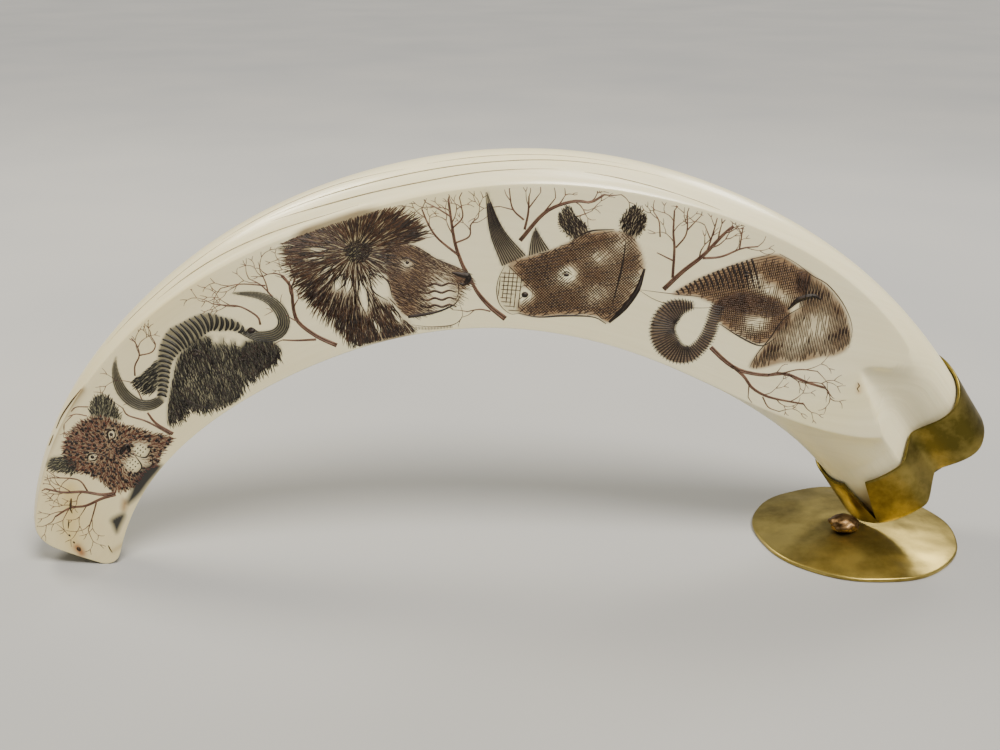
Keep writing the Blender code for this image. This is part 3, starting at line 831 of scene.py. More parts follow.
def elephant():
    """Elephant's head looking left: a ringed brow, a trunk curled to the mouth and a broad ear."""
    brow = outline_of([(43.4, 79.2), (50, 83.4), (58, 86.8), (66, 89.4), (72, 90), (77, 87), (81.5, 83.5),
                       (78, 76), (70, 72), (58, 75), (50, 78.4)])
    cheek = outline_of([(55, 76.5), (62, 79.5), (72, 78), (76.5, 73.5), (74, 68.5), (69, 64.4), (63, 66.8),
                        (57.4, 70.4)], 60)
    ear = outline_of([(78, 86), (84, 82.6), (90, 76.5), (93.6, 69), (93.4, 63), (90, 60.6), (86, 60.2),
                      (81, 59), (75, 58.6), (69, 57.2), (66, 57.8), (67.4, 61), (71, 66), (74.6, 72),
                      (79.5, 76), (77, 81)], 90)
    rings = 60
    middle = curve([(56.2, 76.4), (54.8, 70.2), (53.2, 65.8), (49.2, 61.8), (44.6, 62.8), (41.4, 67.4),
                    (41.8, 72.2), (45.0, 75.2), (49.4, 76.0)], rings)
    half = np.interp(np.linspace(0, 1, rings), (0, 0.35, 0.6, 0.85, 1), (1.5, 1.9, 3.4, 3.2, 0.8))
    along = np.gradient(middle, axis=0)
    across = np.stack([-along[:, 1], along[:, 0]], axis=1) / np.hypot(*along.T)[:, None]
    trunk = np.concatenate([middle + across * half[:, None], (middle - across * half[:, None])[::-1]])
    dark_brow = [(72, 86, 4, 0.45), (60, 82, 5, 0.3), (50, 80.5, 4, 0.3), (66, 82.5, 2.0, -0.7),
                 (70, 79.6, 2.2, -0.75), (74, 77, 1.8, -0.6), (79, 82, 3, 0.2)]
    dark_cheek = [(67, 70.5, 3.4, -0.75), (60, 73, 3, 0.4), (74, 70, 3, 0.4), (68, 65.5, 3, 0.4),
                  (57, 75, 3, 0.4)]
    dark_ear = [(81, 78, 4.5, 0.55), (91, 66, 3.2, 0.35), (70, 60, 3.6, 0.5), (84, 69, 5, -0.42),
                (78, 64, 3.2, -0.3), (89.5, 74, 3, 0.25), (75, 70.5, 2, 0.3), (82.5, 60.5, 2.4, 0.25)]
    inks = [("sepia", hatched(brow, 0.55, 82, 0.35, 0.75, dark_brow)),
            ("sepia", hatched(brow, 0.75, 12, 0.30, 0.55, dark_brow)),
            ("sepia", hatched(cheek, 0.55, 6, 0.33, 0.80, dark_cheek)),
            ("sepia", hatched(cheek, 0.55, 88, 0.33, 0.64, dark_cheek)),
            ("sepia", hatched(ear, 0.46, 87, 0.32, 0.76, dark_ear)),
            ("dark", hatched(ear, 0.9, 83, 0.32, 0.22, dark_ear))]
    for place in range(1, rings - 1):
        ring = middle[place] + across[place] * half[place] * np.linspace(-1, 1, 5)[:, None]
        inks.append(("dark", pen(ring + along[place] * 0.25, 0.44, (0.8, 1.0, 0.8), 7)))
    inks.append(("sepia", hatched(trunk, 0.7, 0, 0.24, 0.8, [])))
    for side in (1, -1):
        fringe = middle + across * half[:, None] * 0.97 * side
        outwards = np.arctan2(across[:, 1] * side, across[:, 0] * side)
        inks.append(("dark", hairs(fringe, outwards, 0.7, 0.20)))
    top = curve([(44.5, 80.2), (50, 83.4), (58, 86.8), (64.5, 89)], 17)
    slope = np.gradient(top, axis=0)
    for place, (x, z) in enumerate(top):
        down = (0.75 + place * 0.24) * np.array([slope[place, 1], -slope[place, 0]]) / np.hypot(*slope[place])
        path = [(x, z), (x + down[0] + 0.2, z + down[1]), (x + 2 * down[0], z + 2 * down[1])]
        inks.append(("dark", pen(path, 0.60, (1.0, 0.9, 0.35), 9)))
    for ink, path, width, profile in (
        ("dark", [(66.2, 57.6), (68, 61.6), (71.4, 66.4), (74.8, 72), (80.2, 75.6)], 0.4, TAPERED),
        ("dark", [(75.6, 74.4), (78.4, 77.2), (82.4, 78.2), (84.4, 77.2)], 1.5, (0.3, 1.0, 1.0, 0.3)),
        ("sepia", [(72, 90.2), (77, 87.4), (81.5, 84), (86, 81.4), (91, 75.6), (94, 69), (93.6, 63)], 0.30,
         TAPERED),
        ("dark", [(57.2, 70.4), (63, 66.6), (69, 64.0), (73, 66.4)], 0.5, TAPERED),
        ("sepia", [(34.4, 80.6), (40, 79.8), (46, 79.0), (52, 78.2), (56, 76.4)], 0.26, TAPERED),
        ("sepia", [(34.4, 80.4), (39, 77.6), (45, 75.8), (51, 75.2), (56, 75.4)], 0.26, TAPERED),
        ("dark", [(61.8, 84.2), (63.2, 85.2), (65, 84.4)], 0.5, TAPERED),
        ("sepia", [(61.4, 83.0), (63.4, 82.4), (65.4, 83.2)], 0.28, TAPERED),
    ):
        inks.append((ink, pen(path, width, profile)))
    inks.append(("dark", dots(np.array([(63.4, 84.2)]), 1.3, 0.9)))
    sepia = (0.30, 0.19, 0.125)
    washes = [(brow, sepia, 0.97, 0.5, 0.88, dark_brow), (cheek, sepia, 0.97, 0.5, 0.90, dark_cheek),
              (ear, (0.30, 0.21, 0.15), 0.94, 0.5, 0.84, dark_ear),
              (trunk, (0.13, 0.08, 0.055), 0.96, 0.3, 1.0, [])]
    return inks, washes


def buffalo():
    """Buffalo's head, tilted: banded boss, horns that sweep out and curl up, and a shaggy face."""
    head = outline_of([
        (-90.9, 63.9), (-85.2, 68.7), (-80.3, 68.9), (-74.1, 67.6), (-68.3, 68.0), (-64.9, 67.2),
        (-63.2, 64.7), (-64.1, 62.3), (-67.0, 59.5), (-72.6, 55.9), (-74.7, 52.2), (-77.3, 49.3),
        (-81.6, 48.5), (-84.7, 47.3), (-89.3, 48.2), (-91.0, 45.7), (-95.1, 43.7), (-95.7, 45.0),
        (-94.7, 51.7), (-93.6, 55.8), (-91.9, 61.9)])
    ear = outline_of([(-103.8, 56.4), (-100.1, 59.2), (-96.4, 62.4), (-96.9, 56.7), (-98.0, 53.4),
                      (-100.0, 52.6), (-102.2, 53.9)], 30)
    # Lighter and darker patches of the face: place, radius and amount.
    tones = [(-88.1, 57.3, 2.6, -0.24), (-80.5, 68.2, 1.3, -1.0), (-77.4, 67.7, 1.2, -1.0),
             (-74.4, 67.1, 1.2, -1.0), (-69.3, 64.0, 4.2, 0.40), (-91.7, 47.4, 3.2, 0.30),
             (-80.5, 58.5, 2.4, -0.18), (-84.6, 52.0, 2.2, -0.20), (-75.4, 58.0, 2.0, -0.15),
             (-78.6, 63.6, 2.2, -0.12), (-90.4, 53.0, 1.6, -0.15)]
    inks = [("charcoal", fur(head, 0.58, always(-84), 2.4, 0.26, 0.70, tones, 0.20, 0.1)),
            ("dark", fur(head, 1.00, always(-64), 2.0, 0.30, 0.40, tones, 0.25)),
            ("charcoal", fur(ear, 0.52, always(216), 1.8, 0.26, 0.9, []))]
    bands = 27
    spine = curve([(-96.6, 51.7), (-95.6, 56.6), (-95.0, 60.7), (-93.9, 64.4), (-91.3, 67.9), (-88.1, 69.9),
                   (-85.0, 71.9), (-81.9, 73.0), (-78.9, 72.4), (-75.9, 72.1), (-73.8, 70.9)], bands)
    side, step = sideways(spine), np.gradient(spine, axis=0)
    reach = np.interp(np.linspace(0, 1, bands), (0, 0.25, 0.5, 0.75, 1), (1.3, 1.7, 3.5, 2.7, 1.2))
    for place in range(bands):
        band = [spine[place] + side[place] * reach[place] * s + step[place] * 0.45 * (1 - s * s)
                for s in (-1, -0.4, 0.3, 1)]
        inks.append(("charcoal", pen(band, 0.95, (0.5, 1.0, 1.0, 0.4), 11)))
    tint, horn_tint = (0.10, 0.10, 0.075), (0.13, 0.12, 0.09)
    washes = [(head, tint, 1.0, 0.7, 0.94, tones), (ear, tint, 0.85, 0.4, 1.0, []),
              (strip(spine, reach), horn_tint, 0.85, 0.4, 1.0, [])]
    # Horns are drawn as bundles of close strokes, so that pale streaks stay between them.
    for path, profile in (
        ([(-96.4, 51.2), (-99.2, 49.4), (-102.6, 49.2), (-105.5, 51.0), (-107.5, 53.9), (-108.4, 57.7),
          (-108.4, 60.9), (-107.9, 63.2)], (0.7, 0.85, 1.0, 1.0, 0.95, 0.75, 0.45, 0.08)),
        ([(-73.8, 70.6), (-70.4, 69.0), (-67.0, 68.6), (-64.2, 69.2), (-62.0, 71.7), (-62.5, 75.5),
          (-65.3, 78.9), (-69.3, 80.5), (-75.2, 81.0)], (0.5, 0.8, 1.0, 1.0, 1.0, 0.9, 0.65, 0.4, 0.06)),
    ):
        middle = curve(path, 34)
        half = np.interp(np.linspace(0, 1, 34), np.linspace(0, 1, len(profile)), profile) * 1.6
        for share in np.linspace(-0.92, 0.92, 6):
            start = int(CHANCE.integers(0, 3))
            line = (middle + sideways(middle) * half[:, None] * share)[start::3]
            inks.append(("charcoal", pen(line, 0.36, (0.8, 1.0, 1.0, 0.6, 0.2))))
        washes.append((strip(middle, half), horn_tint, 0.97, 0.3, 1.0, []))
    for path, width in (
        ([(-72.6, 69.6), (-70.9, 71.1), (-69.0, 70.0)], 0.6),
        ([(-88.4, 63.4), (-86.5, 65.0), (-84.4, 63.9)], 0.6),
        ([(-75.2, 63.2), (-73.6, 61.9), (-71.8, 62.9)], 0.5),
        ([(-63.4, 64.6), (-65.4, 61.4), (-69.4, 58.6)], 0.7),
        ([(-85.0, 68.4), (-82.4, 61.4), (-77.6, 55.6)], 0.45),
        ([(-93.2, 56.0), (-90.2, 51.0), (-84.9, 47.8)], 0.4),
    ):
        inks.append(("dark", pen(path, width)))
    inks += [("dark", dots(np.array([(-70.8, 70.2), (-86.4, 63.6)]), 2.0, 1.3, 0.3)),
             ("dark", dots(np.array([(-73.5, 62.8)]), 1.6, 1.0, 0.6))]
    return inks, washes


LEOPARD_PLACE = (-114.5, 37.1)
LEOPARD_TURN = 48.6


def leopard():
    """Leopard's face, tilted: rust-brown with dark spots, pale whisker pads and grey-green ears.

    The outlines are places on the face, and the features stand in a frame with the eyes level.
    """
    def put(points):
        return turned(points, LEOPARD_PLACE, LEOPARD_TURN)

    head = outline_of([
        (-118.9, 44.6), (-115.1, 45.9), (-111.2, 44.9), (-107.8, 43.1), (-104.2, 42.1), (-100.3, 40.7),
        (-94.8, 39.1), (-97.6, 35.8), (-99.1, 33.1), (-100.1, 30.9), (-103.1, 29.6), (-105.9, 26.0),
        (-108.6, 23.8), (-112.7, 23.1), (-115.7, 26.2), (-118.7, 28.5), (-122.6, 29.5), (-124.7, 32.7),
        (-125.3, 36.3), (-123.3, 40.7), (-121.0, 43.3)], 90)
    ears = [outline_of([(-116.6, 46.3), (-115.8, 50.2), (-113.6, 51.9), (-111.3, 51.5), (-109.9, 49.3),
                        (-108.4, 44.9), (-111.9, 45.4), (-114.3, 45.8)], 30),
            outline_of([(-130.9, 31.5), (-129.0, 33.7), (-125.7, 34.1), (-123.0, 33.1), (-122.2, 29.5),
                        (-124.7, 29.1), (-129.1, 30.1)], 30)]
    pad_places = ((5.8, -8.8), (0.8, -9.8))
    pads = [oval(put(place), 3.8, 4.8, LEOPARD_TURN) for place in pad_places]
    tones = [(*put(place), radius, amount) for place, radius, amount in (
        ((-4.5, 0), 1.4, -0.9), ((4.5, 0), 1.4, -0.9), ((5.8, -8.8), 2.3, -1.2), ((0.8, -9.8), 2.3, -1.2),
        ((3.6, -12.6), 1.6, -0.5))]
    inks = [("rust", fur(head, 0.52, away_from(put((0.5, -2.0))), 1.2, 0.22, 0.74, tones, 0.3))]
    spots = scatter(head, 1.42, 0.40)
    spots = spots[shade(spots, 1.0, tones) > 0.62]
    many = len(spots)
    inks.append(("dark", dots(spots, CHANCE.uniform(0.7, 1.3, many), CHANCE.uniform(0.5, 0.95, many),
                              CHANCE.uniform(0, math.pi, many))))
    for outline in ears:
        middle = outline.mean(axis=0)
        inner = [(middle[0], middle[1], 1.3, -0.25)]
        inks.append(("charcoal", fur(outline, 0.48, away_from(put((0, 0))), 1.4, 0.24, 0.85, inner, 0.25)))
    for s in (-1, 1):
        for path, width in (
            ([(2.6, -0.6), (4.4, 1.2), (6.4, 0.4)], 0.6), ([(2.6, -0.6), (4.6, -1.1), (6.4, 0.4)], 0.42),
            ([(2.6, -0.6), (1.9, -2.6), (2.3 + 0.5 * s, -4.6)], 0.42),
        ):
            inks.append(("dark", pen(put([(s * x, z) for x, z in path]), width)))
        inks.append(("dark", dots(put([(s * 4.5, 0.1)]), 1.1, 1.1)))
    for path, width in (
        ([(3.3, -7.0), (3.5, -8.6)], 0.42),
        ([(3.5, -8.6), (5.0, -11.2), (8.0, -10.8)], 0.45),
        ([(3.5, -8.6), (2.0, -12.0), (-0.8, -12.2)], 0.45),
        ([(1.4, -12.6), (4.0, -14.0), (7.0, -12.0)], 0.4),
    ):
        inks.append(("dark", pen(put(path), width)))
    for x, z in pad_places:
        marks = [(x - 1.2 + 1.2 * k, z + 0.9 - 0.9 * row) for k in range(3) for row in range(3)]
        inks.append(("charcoal", dots(put(marks), 0.55, 0.36, math.radians(LEOPARD_TURN))))
    nose = put([(1.1, -5.4), (2.8, -5.0), (4.6, -5.3), (3.2, -6.9)])
    inks.append(("dark", pen(nose, 1.4, (0.6, 1.0, 0.9, 0.5))))
    washes = [(head, (0.20, 0.12, 0.085), 0.95, 0.6, 0.92, tones)]
    washes += [(outline, (0.12, 0.13, 0.10), 0.86, 0.6, 1.0, []) for outline in ears]
    washes += [(outline, (0.86, 0.90, 0.88), 0.5, 0.4, 1.0, []) for outline in pads]
    return inks, washes


# Bare branches: path (x, z), width, and number of twigs.
LIMBS = (
    (((-112.4, 22.5), (-116.2, 22.1), (-121.4, 23.1), (-126.7, 23.0), (-131.6, 24.2)), 0.9, 5),
    (((-112.4, 22.0), (-116.3, 20.9), (-121.1, 18.7), (-125.6, 18.1), (-130.1, 15.4)), 0.8, 5),
    (((-118.0, 19.8), (-119.3, 16.1), (-121.3, 11.0)), 0.4, 3),
    (((-120.1, 23.3), (-121.6, 26.3), (-124.1, 27.3), (-129.6, 27.6)), 0.45, 3),
    (((-94.6, 40.4), (-98.9, 43.6), (-101.0, 46.9)), 0.9, 1),
    (((-95.2, 40.2), (-101.3, 44.2), (-106.4, 46.2), (-107.6, 48.4)), 0.6, 1),
    (((-116.9, 48.9), (-120.4, 48.8), (-122.6, 46.9)), 0.3, 3),
    (((-117.6, 46.2), (-120.6, 46.8), (-123.9, 45.6)), 0.3, 3),
    (((-68.3, 72.0), (-69.0, 74.4), (-73.3, 77.2), (-77.8, 77.7), (-80.7, 78.1)), 0.5, 4),
    (((-64.5, 79.8), (-67.3, 83.1), (-70.5, 85.0)), 0.4, 2),
    (((-66.2, 83.0), (-72.8, 83.5), (-78.1, 82.4)), 0.35, 3),
    (((-65.6, 80.9), (-66.1, 83.8), (-67.4, 87.3)), 0.35, 2),
    (((-103.3, 57.8), (-103.0, 60.8), (-101.5, 63.7), (-102.0, 66.9), (-103.6, 69.3)), 0.4, 4),
    (((-101.5, 63.7), (-98.1, 64.6), (-96.9, 66.8), (-97.9, 69.2)), 0.35, 2),
    (((-102.1, 50.6), (-103.0, 53.5), (-104.2, 55.9)), 0.35, 1),
    (((-48.0, 65.8), (-53.4, 68.6), (-58.1, 72.7), (-59.2, 77.1), (-59.4, 82.2), (-61.5, 85.7)), 1.1, 5),
    (((-59.2, 82.6), (-58.4, 85.3), (-59.8, 89.2)), 0.4, 3),
    (((-53.5, 67.6), (-58.4, 67.4), (-62.6, 67.6)), 0.6, 1),
    (((-2.0, 72.8), (-6.2, 76.4), (-9.5, 80.4), (-11.5, 84.4)), 1.3, 0),
    (((-12.4, 86.0), (-13.6, 88.4), (-15.4, 94.1), (-16.4, 100.9), (-17.0, 106.0)), 0.9, 4),
    (((-14.3, 90.6), (-19.8, 95.3), (-22.3, 99.1), (-24.0, 103.4)), 0.6, 4),
    (((-15.4, 94.1), (-11.6, 95.9), (-11.2, 99.0), (-9.2, 101.0)), 0.45, 3),
    (((-16.0, 98.2), (-13.4, 100.9), (-13.6, 104.0), (-14.1, 106.4)), 0.4, 2),
    (((-16.4, 101.3), (-20.0, 103.6), (-23.0, 105.2)), 0.4, 2),
    (((-6.0, 75.0), (-9.0, 75.6), (-12.4, 75.0)), 0.4, 2),
    (((1.9, 94.6), (7.4, 101.2), (11.6, 103.9), (16.8, 105.2), (20.6, 104.8), (24.0, 106.8)), 1.0, 4),
    (((3.1, 97.6), (4.0, 102.0), (4.2, 106.6)), 0.6, 2),
    (((4.1, 103.3), (7.3, 107.6)), 0.35, 1),
    (((2.9, 100.2), (-0.1, 103.3), (-1.0, 108.4)), 0.45, 2),
    (((8.2, 102.2), (11.2, 106.0)), 0.4, 1),
    (((16.7, 100.9), (18.8, 101.6), (20.8, 102.4)), 0.3, 1),
    (((0.0, 103.0), (-3.4, 103.9)), 0.3, 1),
    (((39.4, 95.2), (38.9, 99.5), (37.4, 102.0)), 0.35, 2),
    (((41.0, 80.6), (46.1, 85.7), (51.2, 89.9), (56.5, 95.8), (60.2, 99.0)), 1.2, 5),
    (((51.2, 89.2), (56.2, 89.6), (61.7, 91.8), (66.0, 92.3)), 0.6, 3),
    (((61.0, 91.5), (61.6, 97.8)), 0.4, 2),
    (((43.3, 83.8), (43.4, 92.0), (42.9, 96.4), (42.9, 102.4)), 0.7, 4),
    (((43.8, 92.2), (46.4, 96.0), (46.4, 101.8)), 0.45, 2),
    (((46.6, 97.0), (50.2, 101.0)), 0.35, 1),
    (((43.3, 88.6), (38.7, 90.9)), 0.4, 0),
    (((52.4, 91.6), (53.8, 97.0), (54.6, 100.8)), 0.45, 2),
    (((53.0, 94.4), (51.2, 98.4)), 0.3, 1),
    (((54.9, 63.8), (59.0, 59.8), (63.6, 56.8), (70.6, 55.3), (76.4, 55.6), (82.6, 53.0), (88.0, 51.2)),
     1.1, 4),
    (((61.0, 58.4), (64.8, 55.0), (67.4, 51.5), (72.0, 48.8), (78.4, 47.2), (82.4, 46.4)), 0.8, 4),
    (((66.4, 52.6), (66.4, 48.8)), 0.35, 1),
    (((75.0, 55.6), (80.2, 56.8), (85.4, 56.2)), 0.4, 2),
    (((70.5, 48.8), (72.4, 45.6), (75.6, 44.2)), 0.35, 1),
)


def bough(start, angle, length, width, forks):
    """Bare twig: a tapering stroke that forks, each fork shorter and thinner."""
    bend = CHANCE.uniform(-0.35, 0.35)
    a = math.radians(angle)
    halfway = length * 0.5 * np.array([math.cos(a + bend * 0.3), math.sin(a + bend * 0.3)])
    middle = np.array(start) + halfway
    end = np.array(start) + length * np.array([math.cos(a + bend), math.sin(a + bend)])
    lines = [pen([start, middle, end], width, (1.0, 0.75, 0.5), 9)]
    if forks == 0:
        return lines
    heading = math.degrees(a + bend)
    for side in (-1, 1):
        fork = heading + side * CHANCE.uniform(16, 40)
        lines += bough(end, fork, length * CHANCE.uniform(0.55, 0.85), max(width * 0.7, 0.20), forks - 1)
    return lines


def limb(path, width, twigs):
    """Branch drawn as two close strokes along a path, with forked twigs to either side of it."""
    middle = curve(path, 20)
    share = np.linspace(0, 1, 20)
    half = width * (0.60 - 0.30 * share)
    aside = sideways(middle) * (half * 0.45)[:, None]
    lines = [pen(middle + aside * side, width * 0.62, (1.0, 0.85, 0.55), 18) for side in (-1, 1)]
    heading = np.degrees(np.arctan2(*np.gradient(middle, axis=0).T[::-1]))
    for twig in range(twigs):
        at = min(19, int(19 * (0.4 + 0.6 * (twig + 1) / twigs)))
        angle = heading[at] + (-1) ** twig * CHANCE.uniform(18, 48)
        lines += bough(middle[at], angle, CHANCE.uniform(2.6, 4.6), max(width * 0.4, 0.26), 2)
    return lines


def branches(outlines):
    """All the bare branches, less the strokes that would lie mostly over a figure."""
    lines = []
    for path, width, twigs in LIMBS:
        lines += limb(path, width, twigs)
    covered = [max(inside(line[0][0], outline).mean() for outline in outlines) for line in lines]
    return [line for line, share in zip(lines, covered) if share < 0.5]


def trimmed(points, half, margin):
    """Strokes cut off where they leave the face: each is drawn again over its part before that."""
    on = on_face(points, margin)
    steps = on.shape[1]
    stop = np.where(on.all(axis=1), steps, np.argmin(on, axis=1)) - 1
    stays = stop >= 1
    points, half, stop = points[stays], half[stays], stop[stays]
    at = stop[:, None] * np.linspace(0, 1, steps)
    low = np.minimum(at.astype(int), steps - 2)
    part = at - low
    rows = np.arange(len(stop))[:, None]
    return tuple(values[rows, low] * (1 - share) + values[rows, low + 1] * share
                 for values, share in ((points, part[..., None]), (half, part)))


def ribbons(left, right, keel):
    """Closed thin strokes: a flat top between left and right edges, and two sides down to the keel."""
    many, steps = left.shape[:2]
    points = np.stack([left, right, keel], axis=2).reshape(-1, 3)
    start = (np.arange(many) * steps * 3)[:, None] + np.arange(steps - 1) * 3
    a, b, c = start.ravel(), start.ravel() + 1, start.ravel() + 2
    quads = np.concatenate([np.stack([a, b, b + 3, a + 3], axis=1), np.stack([a, a + 3, c + 3, c], axis=1),
                            np.stack([b, c, c + 3, b + 3], axis=1)])
    first = np.arange(many) * steps * 3
    last = first + (steps - 1) * 3
    ends = np.concatenate([np.stack([first, first + 2, first + 1], axis=1),
                           np.stack([last, last + 1, last + 2], axis=1)])
    return points, [quads, ends]


def engraved(name, strokes, ink, material, margin=FACE_MARGIN):
    """Piece of all the strokes of one ink: they follow the face, a little proud and a little deep."""
    size = 0
    groups = [[], []]
    points = []
    proud = INK_PROUD + INK_LEVELS[ink]
    for path, half in strokes:
        path, half = trimmed(path, half, margin)
        if not len(path):
            continue
        depth = behind_face(front_depth_at(*tusk_place(path))) + ORIGIN[1]
        across = sideways(path) * half[..., None]
        edges = [path + across * side for side in (1, -1)]
        left, right = [np.stack([e[..., 0], depth - proud, e[..., 1]], axis=-1) for e in edges]
        keel = np.stack([path[..., 0], depth + INK_DEEP, path[..., 1]], axis=-1)
        part, (quads, ends) = ribbons(left, right, keel)
        points.append(part)
        groups[0].append(quads + size)
        groups[1].append(ends + size)
        size += len(part)
    if points:
        mesh = new_mesh(name, np.concatenate(points), [np.concatenate(group) for group in groups])
        new_piece(name, mesh, material, smooth=False)


# Each ink lies at its own level, so that crossing strokes of two inks never share a plane.
INK_LEVELS = {"twig": 0.0, "sepia": 0.002, "rust": 0.004, "charcoal": 0.006, "dark": 0.010, "dirt": 0.008}
INK_COLOURS = {"sepia": ("3e2a1e", "5b402c"), "twig": ("5e4032", "80604c"), "rust": ("4e261c", "6f3d2c"),
               "charcoal": ("262420", "423f36"), "dark": ("221a16", "3a2c24"), "dirt": ("3a2a16", "6b5028")}

# Stains on the face: path (x, z), colour that multiplies the ivory's, strength and reach.
STAINS = (
    (((-118.3, 53.9), (-121.2, 50.4), (-125.1, 45.4), (-129.3, 37.4), (-132.2, 32.5), (-133.6, 28.2)),
     (0.30, 0.22, 0.12), 0.90, 1.2),
    (((-124.6, 24.1), (-125.9, 15.9), (-126.7, 11.1), (-125.6, 6.3)), (0.86, 0.74, 0.42), 0.55, 2.6),
    (((-125.0, 5.4), (-124.0, 3.6)), (0.42, 0.16, 0.06), 0.9, 1.3),
    (((-112.0, 6.0), (-115.2, 4.0)), (0.55, 0.44, 0.30), 0.5, 0.8),
    (((97.4, 51.9), (97.9, 49.8)), (0.66, 0.44, 0.26), 0.6, 0.8),
    (((99.7, 48.8), (93.0, 43.0), (84.0, 42.0)), (0.98, 0.96, 0.80), 0.6, 7.0),
    (((-46.0, 97.0), (-30.0, 103.0), (-8.0, 106.0)), (0.97, 0.93, 0.76), 0.5, 6.0),
    (((-100.0, 74.0), (-86.0, 84.0)), (0.94, 0.88, 0.72), 0.5, 7.0),
    (((-126.0, 22.0), (-122.0, 14.0)), (0.93, 0.84, 0.66), 0.5, 6.0),
)
# Smears of ink below the leopard: outline, colour that multiplies the ivory's, and strength.
SMEARS = (
    (((-99.2, 31.3), (-98.7, 30.2), (-102.7, 25.5), (-105.5, 21.9), (-108.9, 18.9), (-109.6, 19.6),
      (-108.1, 22.8), (-106.0, 27.4), (-103.0, 30.7)), (0.01, 0.01, 0.01), 1.0),
    (((-114.6, 14.2), (-111.5, 16.0), (-110.3, 15.5), (-111.9, 12.2), (-113.4, 9.7), (-114.3, 12.3)),
     (0.01, 0.01, 0.01), 1.0),
    (((-110.6, 20.6), (-109.2, 19.6), (-110.1, 16.9), (-111.3, 17.3)), (0.42, 0.26, 0.14), 0.8),
)
# Fine dirt lines on the face and over its border: path and width.
DIRT_LINES = (
    (((-118.3, 53.9), (-121.2, 50.4), (-125.1, 45.4), (-127.2, 41.6)), 0.90),
    (((-128.3, 39.6), (-129.3, 37.4), (-130.6, 35.2)), 0.60),
    (((-131.4, 33.6), (-132.2, 31.9), (-133.0, 29.6)), 0.60),
    (((-124.9, 21.1), (-125.5, 18.0), (-125.2, 16.4)), 0.7),
    (((-126.4, 14.2), (-126.9, 11.6)), 0.4),
    (((-127.0, 9.6), (-126.6, 9.2)), 0.7),
    (((-126.0, 7.4), (-125.6, 6.8)), 0.6),
    (((-124.9, 5.6), (-124.4, 4.2)), 1.3),
    (((-116.2, 5.9), (-115.8, 4.6), (-115.3, 3.6)), 0.4),
    (((97.2, 52.6), (97.8, 51.6), (97.3, 50.8), (97.9, 49.8)), 0.35),
)
# Growth lines of the natural surface: distance along the tusk and angle round it in radians, and
# width.
GROWTH_LINES = (
    (((76.9, 5.749), (94.1, 5.693), (120.6, 5.507), (132.8, 5.485)), 0.34),
    (((111.3, 5.788), (126.3, 5.661), (146.4, 5.621), (162.1, 5.664), (180.0, 5.709)), 0.40),
    (((111.0, 5.905), (135.6, 5.837), (162.1, 5.852), (180.0, 5.900), (205.1, 5.918)), 0.40),
    (((98.0, 6.02), (111.3, 6.049), (128.5, 6.075), (144.9, 5.983)), 0.34),
    (((186.0, 5.70), (204.0, 5.66), (226.0, 5.62)), 0.26),
    (((150.0, 6.01), (176.0, 6.04), (196.0, 6.02)), 0.24),
    (((60.0, 5.93), (80.0, 5.90), (104.0, 5.94)), 0.28),
)
GROWTH_COUNT = 34
GROWTH_STEPS = 40
# Millimetres round the tusk for a radian, so that the points of a growth line are evenly spaced.
ROUND_SCALE = 20
# Radians to either side over which the slope round the natural surface and the cap is measured.
GROWTH_SLOPE_STEP = 0.01
CAP_SLOPE_STEP = 0.04


def natural_points(place, turn):
    """Points of the tusk's surface at distances along it and angles round it."""
    height, depth = section(place, turn)
    return on_section(place, height, behind_face(depth))


def growth_line(path, width):
    """Ribbon along the natural surface through (distance, angle) points, tapered at both ends."""
    place, turn = curve(np.array(path) * (1, ROUND_SCALE), GROWTH_STEPS).T
    turn = turn / ROUND_SCALE
    middle = natural_points(place, turn)
    run = np.gradient(middle, axis=0)
    after, before = [natural_points(place, turn + side * GROWTH_SLOPE_STEP) for side in (1, -1)]
    round_it = after - before
    out = np.cross(run, round_it)
    out /= np.linalg.norm(out, axis=1, keepdims=True)
    inwards = on_section(place, 0 * place, through(FACE_DEPTHS, place / ARC_LENGTH)) - middle
    out *= -np.sign((out * inwards).sum(axis=1, keepdims=True))
    across = np.cross(out, run)
    across /= np.linalg.norm(across, axis=1, keepdims=True)
    half = np.interp(np.linspace(0, 1, GROWTH_STEPS), (0, 0.2, 0.7, 1), (0.1, 1, 0.8, 0.1))
    half = half[:, None] * width / 2
    top = middle + out * INK_PROUD
    return [v[None] for v in (top + across * half, top - across * half, middle - out * INK_DEEP)]


def make_growth_lines():
    """Fine brown lines along the natural surface: the ones that show in front, and more behind."""
    paths = list(GROWTH_LINES)
    for _ in range(GROWTH_COUNT):
        start = CHANCE.uniform(20, 230)
        length = CHANCE.uniform(25, 75)
        turn = CHANCE.uniform(0.2, 3.0) + CHANCE.normal(0, 0.02, 4).cumsum()
        places = start + np.linspace(0, 1, 4) * length
        paths.append((tuple(zip(places, turn)), CHANCE.uniform(0.14, 0.30)))
    parts = [growth_line(path, width) for path, width in paths]
    left, right, keel = [np.concatenate([part[i] for part in parts]) for i in range(3)]
    material = ink_material("old_dirt_in_growth_lines", "8d7c55", "b9ab82")
    new_piece("growth_lines", new_mesh("growth_lines", *ribbons(left, right, keel)), material,
              smooth=False)


